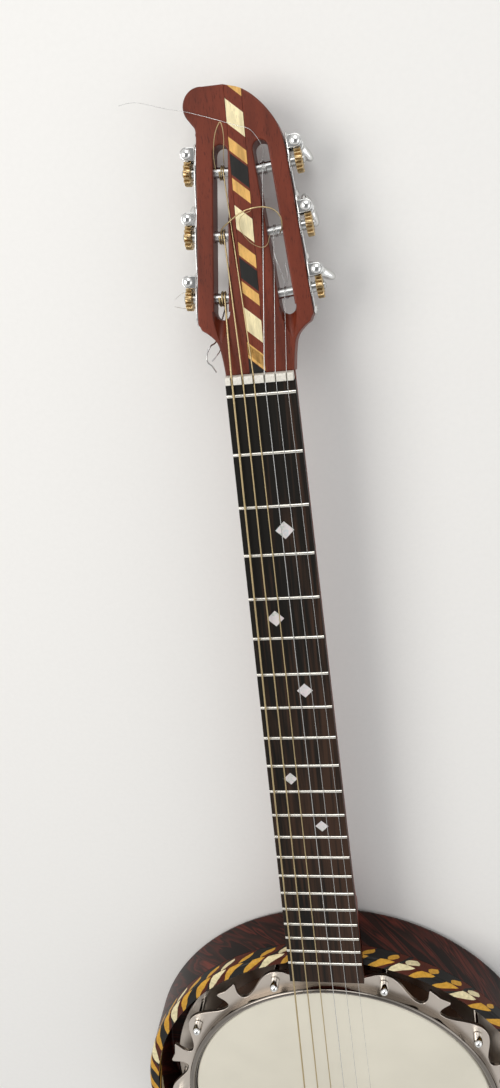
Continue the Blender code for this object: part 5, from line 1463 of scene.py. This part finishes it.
# Each loose end's points in the headstock's frame, its thickness as a share, its finish and slot.
LOOSE_ENDS = {
    "ring_upper": (
        [(-16.2, 81.0, -3.2), (-14.4, 83.5, 0), (-9.3, 86.4, 4), (-2.5, 89.9, 7), (4.6, 91.6, 9)]
        + [(11.9, 91.5, 10), (17.5, 89.5, 9), (20.6, 85.4, 6), (20.4, 80.6, 2), (18.4, 77.6, -2.6)],
        1.8,
        WOUND,
    ),
    "ring_lower": (
        [(12.6, 77.8, -2.6), (11.0, 72.2, 0.5), (7.5, 70.9, 2), (2.3, 73.8, 5), (-1.5, 79, 7)]
        + [(-2.8, 84.7, 8), (-0.8, 88.4, 8.5), (4.5, 90.5, 9)],
        0.8,
        WOUND,
    ),
    "hairpin": (
        [(-15.6, 116.3, -3.2), (-15.5, 122.9, -1), (-13.5, 130.3, 4), (-11, 135.5, 7), (-8.2, 138.3, 9)]
        + [(-7.4, 134.8, 8), (-7.8, 129.5, 5), (-9.4, 123.3, 1.2), (-10.4, 118.4, -3.4)],
        1.1,
        WOUND,
    ),
    "long_wire": (
        [(9.7, 116.2, -3.2), (12.7, 119.7, -1), (13, 124.3, 3), (10.7, 129.2, 7), (7.2, 133.1, 8.5)]
        + [(0.9, 135.7, 7), (-9.6, 140.2, 4), (-20.3, 144.6, 1.8), (-30.5, 148.1, 1.6), (-37.9, 149.7, 3)]
        + [(-44, 151.4, 5), (-49.5, 153.1, 6.5), (-55.4, 154.4, 8), (-60.3, 154.4, 8.5), (-64.9, 153.7, 9)],
        0.55,
        PLAIN,
    ),
    "low_bow": (
        [(18.7, 48.4, -3.2), (18, 54.8, -1), (15.8, 62, 0.6), (14.1, 68.6, -1), (13.6, 73.4, -5.4)],
        0.8,
        PLAIN,
    ),
    "low_hook": ([(19.8, 48.3, -3.2), (21.2, 54.4, 0), (20.5, 60.8, 1.2)], 0.8, PLAIN),
    "curl_outer": (
        [(-19, 43, -10.5), (-21, 38, -17), (-24.4, 30, -18.2), (-26.7, 20.9, -12), (-30, 18.1, -8.5)]
        + [(-32.4, 13.3, -7), (-32.4, 9.1, -7), (-30, 6.2, -8), (-28.3, 2.4, -10)],
        2.2,
        PLAIN,
    ),
    "curl_inner": (
        [(-18, 43, -10.5), (-19.5, 37, -17), (-22.4, 28, -18.4), (-24.6, 16.2, -12), (-26.3, 12.7, -8)]
        + [(-29.5, 9.3, -7)],
        1.6,
        PLAIN,
    ),
    "whisker_high": (
        [(-31, 53, -16.1), (-40, 52.6, -16.1), (-45.5, 50.8, -15), (-49.9, 47.4, -12)],
        0.7,
        PLAIN,
    ),
    "whisker_low": (
        [(-31, 42, -16.1), (-41, 41.5, -16.1), (-46, 42.2, -15), (-50.3, 43.5, -12)],
        0.7,
        PLAIN,
    ),
}


def build_loose_ends():
    """The springy ends left past the rollers, as smooth curves in the headstock's frame."""
    thin = size("loose_wire") / 2
    for name, (points, share, (look, slot)) in LOOSE_ENDS.items():
        path = curved(points, 8)
        radius = np.linspace(1, 0.75, len(path)) * thin * share
        shape = moved(tilted(), tube(path, radius, 10, (0.35, 0.2, 1.0)))
        piece(f"end_{name}", shape, look, sharp=70.0)


def seen_rays(tree):
    """A node that gives 1 for the rays that show the room: from the camera, off a mirror, through glass."""
    path = add(tree, "ShaderNodeLightPath")
    rays = {0: (path, "Is Camera Ray"), 1: (path, "Is Glossy Ray")}
    seen = add(tree, "ShaderNodeMath", rays, operation="MAXIMUM")
    rays = {0: (seen, "Value"), 1: (path, "Is Transmission Ray")}
    return add(tree, "ShaderNodeMath", rays, operation="MAXIMUM")


def floor_paint():
    """Matt studio paint with a faint mottle, drawn coarser than paint's so that it shows. Further out
    it fades to the studio's own pale grey, but only where it is seen, so it lights nothing."""
    made, tree, place = blank("floor_paint")
    fine = add(tree, "ShaderNodeTexNoise", {"Vector": place, "Scale": every(3.33), "Detail": 2.0})
    mottle = [(0.3, shaded(tone("floor"), 0.985)), (0.7, tone("floor"))]
    shade = add(tree, "ShaderNodeValToRGB", {"Fac": (fine, "Fac")}, mottle)
    paint = add(tree, "ShaderNodeBsdfPrincipled", {"Base Color": (shade, "Color"), "Roughness": 0.7})
    far = add(tree, "ShaderNodeVectorMath", {0: place, 1: STAGE_MIDDLE}, operation="DISTANCE")
    span = {"Value": (far, "Value"), "From Min": FADE_FROM, "From Max": FADE_TO}
    fade = add(tree, "ShaderNodeMapRange", span, interpolation_type="SMOOTHSTEP")
    share = {0: (seen_rays(tree), "Value"), 1: (fade, "Result")}
    share = add(tree, "ShaderNodeMath", share, operation="MULTIPLY")
    pale = {"Color": (STUDIO_PALE, STUDIO_PALE, STUDIO_PALE, 1.0), "Strength": 1.0}
    pale = add(tree, "ShaderNodeEmission", pale)
    parts = {0: (share, "Value"), 1: (paint, "BSDF"), 2: (pale, "Emission")}
    mixed = add(tree, "ShaderNodeMixShader", parts)
    add(tree, "ShaderNodeOutputMaterial", {"Surface": (mixed, "Shader")})
    return made


def build_floor():
    """One large square, a hair under the back."""
    corners = [(x * FLOOR_REACH, y * FLOOR_REACH, FLOOR_Z) for x, y in ((-1, -1), (1, -1), (1, 1), (-1, 1))]
    mesh = bpy.data.meshes.new("floor")
    mesh.from_pydata(corners, [], [(0, 1, 2, 3)])
    mesh.materials.append(floor_paint())
    ground = bpy.data.objects.new("floor", mesh)
    bpy.context.scene.collection.objects.link(ground)


def build_lamps():
    """Three wide soft lamps, each turned to the middle of the neck."""
    for name, energy, wide, spot, tint in LAMPS:
        lamp = bpy.data.lights.new(name, "AREA")
        lamp.energy, lamp.size, lamp.color = energy, wide, tint
        obj = bpy.data.objects.new(name, lamp)
        bpy.context.scene.collection.objects.link(obj)
        obj.location = spot
        obj.rotation_mode = "QUATERNION"
        obj.rotation_quaternion = (Vector(spot) - Vector(LIT_SPOT)).to_track_quat("Z", "Y")


def build_studio():
    """A pale room, darker overhead, that shows only to the camera and in mirrors. All other rays get
    an even, slightly cool light."""
    scene = bpy.context.scene
    scene.world = bpy.data.worlds.new("studio")
    scene.world.use_nodes = True
    tree = scene.world.node_tree
    tree.nodes.clear()
    way = add(tree, "ShaderNodeTexCoord")
    split = add(tree, "ShaderNodeSeparateXYZ", {"Vector": (way, "Generated")})
    heights = [(0.0, STUDIO_PALE), (0.3, STUDIO_PALE), (0.72, 0.8), (0.84, 0.55), (1.0, 0.22)]
    sky = add(tree, "ShaderNodeValToRGB", {"Fac": (split, "Z")}, heights)
    room = add(tree, "ShaderNodeBackground", {"Color": (sky, "Color"), "Strength": 1.0})
    light = add(tree, "ShaderNodeBackground", {"Color": (0.95, 0.97, 1.0, 1.0), "Strength": 0.48})
    parts = {0: (seen_rays(tree), "Value"), 1: (light, "Background"), 2: (room, "Background")}
    mixed = add(tree, "ShaderNodeMixShader", parts)
    add(tree, "ShaderNodeOutputWorld", {"Surface": (mixed, "Shader")})
    scene.view_settings.view_transform = "Standard"


def build_camera():
    """The camera where the photograph's stood, from the fit of the frets and the pot's round edges."""
    camera = bpy.data.cameras.new("camera")
    camera.lens, camera.sensor_width = CAMERA_LENS, SENSOR_WIDTH
    camera.clip_start, camera.clip_end = 0.01, 50.0
    eye = bpy.data.objects.new("camera", camera)
    bpy.context.scene.collection.objects.link(eye)
    right, down, ahead = CAMERA_AXES
    axes = Matrix((right, [-v for v in down], [-v for v in ahead])).transposed()
    eye.rotation_mode = "QUATERNION"
    eye.rotation_quaternion = axes.to_quaternion()
    eye.location = CAMERA_SPOT
    bpy.context.scene.camera = eye


def build_stage():
    """A pale floor, soft lamps, a pale studio round it all, and the camera."""
    build_floor()
    build_lamps()
    build_studio()
    build_camera()


class BANJO_OT_stage(bpy.types.Operator):
    """Add the floor, the lamps, the studio and the camera"""

    bl_idname = "banjo.stage"
    bl_label = "Stage"
    bl_options = {"REGISTER", "UNDO"}

    def execute(self, context):
        build_stage()
        return {"FINISHED"}


class BANJO_OT_neck(bpy.types.Operator):
    """Carve the neck, heel and slotted headstock"""

    bl_idname = "banjo.neck"
    bl_label = "Neck"
    bl_options = {"REGISTER", "UNDO"}

    def execute(self, context):
        build_neck()
        return {"FINISHED"}


class BANJO_OT_strip(bpy.types.Operator):
    """Lay the marquetry strip into the headstock"""

    bl_idname = "banjo.strip"
    bl_label = "Headstock strip"
    bl_options = {"REGISTER", "UNDO"}

    def execute(self, context):
        build_strip()
        return {"FINISHED"}


class BANJO_OT_fretboard(bpy.types.Operator):
    """Make the board, its frets and its pearl diamonds"""

    bl_idname = "banjo.fretboard"
    bl_label = "Fretboard"
    bl_options = {"REGISTER", "UNDO"}

    def execute(self, context):
        build_fretboard()
        return {"FINISHED"}


class BANJO_OT_nut(bpy.types.Operator):
    """Cut the bone nut"""

    bl_idname = "banjo.nut"
    bl_label = "Nut"
    bl_options = {"REGISTER", "UNDO"}

    def execute(self, context):
        build_nut()
        return {"FINISHED"}


class BANJO_OT_strips(bpy.types.Operator):
    """Make the two machine strips with their ears and screws"""

    bl_idname = "banjo.strips"
    bl_label = "Machine strips"
    bl_options = {"REGISTER", "UNDO"}

    def execute(self, context):
        build_strips()
        return {"FINISHED"}


class BANJO_OT_machines(bpy.types.Operator):
    """Make the worms, wheels, rollers and buttons"""

    bl_idname = "banjo.machines"
    bl_label = "Tuning machines"
    bl_options = {"REGISTER", "UNDO"}

    def execute(self, context):
        build_machines()
        return {"FINISHED"}


class BANJO_OT_caps(bpy.types.Operator):
    """Dome the ears over the worms"""

    bl_idname = "banjo.caps"
    bl_label = "Worm caps"
    bl_options = {"REGISTER", "UNDO"}

    def execute(self, context):
        build_caps()
        return {"FINISHED"}


class BANJO_OT_head(bpy.types.Operator):
    """Stretch the skin"""

    bl_idname = "banjo.head"
    bl_label = "Drum head"
    bl_options = {"REGISTER", "UNDO"}

    def execute(self, context):
        build_head()
        return {"FINISHED"}


class BANJO_OT_plate(bpy.types.Operator):
    """Make the tension plate, its collar and its bolts"""

    bl_idname = "banjo.plate"
    bl_label = "Tension plate"
    bl_options = {"REGISTER", "UNDO"}

    def execute(self, context):
        build_plate()
        return {"FINISHED"}


class BANJO_OT_resonator(bpy.types.Operator):
    """Turn the bowl"""

    bl_idname = "banjo.resonator"
    bl_label = "Resonator"
    bl_options = {"REGISTER", "UNDO"}

    def execute(self, context):
        build_resonator()
        return {"FINISHED"}


class BANJO_OT_binding(bpy.types.Operator):
    """Lay the rope marquetry round the bowl's edge"""

    bl_idname = "banjo.binding"
    bl_label = "Rope binding"
    bl_options = {"REGISTER", "UNDO"}

    def execute(self, context):
        build_binding()
        return {"FINISHED"}


class BANJO_OT_pot(bpy.types.Operator):
    """Make the rim, the bracket ring, the stick and the back screw"""

    bl_idname = "banjo.pot"
    bl_label = "Pot"
    bl_options = {"REGISTER", "UNDO"}

    def execute(self, context):
        build_pot()
        return {"FINISHED"}


class BANJO_OT_bridge(bpy.types.Operator):
    """Carve the bridge"""

    bl_idname = "banjo.bridge"
    bl_label = "Bridge"
    bl_options = {"REGISTER", "UNDO"}

    def execute(self, context):
        build_bridge()
        return {"FINISHED"}


class BANJO_OT_tailpiece(bpy.types.Operator):
    """Bend the tailpiece"""

    bl_idname = "banjo.tailpiece"
    bl_label = "Tailpiece"
    bl_options = {"REGISTER", "UNDO"}

    def execute(self, context):
        build_tailpiece()
        return {"FINISHED"}


class BANJO_OT_strings(bpy.types.Operator):
    """String the banjo"""

    bl_idname = "banjo.strings"
    bl_label = "Strings"
    bl_options = {"REGISTER", "UNDO"}

    def execute(self, context):
        build_strings()
        return {"FINISHED"}


class BANJO_OT_loose_ends(bpy.types.Operator):
    """Curl the loose string ends"""

    bl_idname = "banjo.loose_ends"
    bl_label = "Loose ends"
    bl_options = {"REGISTER", "UNDO"}

    def execute(self, context):
        build_loose_ends()
        return {"FINISHED"}


OPERATORS = (
    BANJO_OT_stage,
    BANJO_OT_neck,
    BANJO_OT_strip,
    BANJO_OT_fretboard,
    BANJO_OT_nut,
    BANJO_OT_strips,
    BANJO_OT_caps,
    BANJO_OT_machines,
    BANJO_OT_head,
    BANJO_OT_plate,
    BANJO_OT_resonator,
    BANJO_OT_binding,
    BANJO_OT_pot,
    BANJO_OT_bridge,
    BANJO_OT_tailpiece,
    BANJO_OT_strings,
    BANJO_OT_loose_ends,
)


class BANJO_PT_panel(bpy.types.Panel):
    """Lists the banjo's pieces, sizes and colours"""

    bl_label = "Banjo"
    bl_idname = "BANJO_PT_panel"
    bl_space_type = "VIEW_3D"
    bl_region_type = "UI"
    bl_category = "Banjo"

    def draw(self, context):
        for operator in OPERATORS:
            self.layout.operator(operator.bl_idname)
        for group in (context.scene.banjo_sizes, context.scene.banjo_colours):
            column = self.layout.column(align=True)
            for name in group.__annotations__:
                column.prop(group, name)


CLASSES = (BanjoSizes, BanjoColours, *OPERATORS, BANJO_PT_panel)


def register():
    """Adds the classes, and the sizes and colours to the scene."""
    for kind in CLASSES:
        bpy.utils.register_class(kind)
    bpy.types.Scene.banjo_sizes = PointerProperty(type=BanjoSizes)
    bpy.types.Scene.banjo_colours = PointerProperty(type=BanjoColours)


def unregister():
    """Takes away what register added."""
    del bpy.types.Scene.banjo_sizes
    del bpy.types.Scene.banjo_colours
    for kind in reversed(CLASSES):
        bpy.utils.unregister_class(kind)


def main():
    """Builds every piece and the stage."""
    register()
    for operator in OPERATORS:
        getattr(bpy.ops.banjo, operator.bl_idname.split(".")[1])()


if __name__ == "__main__":
    main()
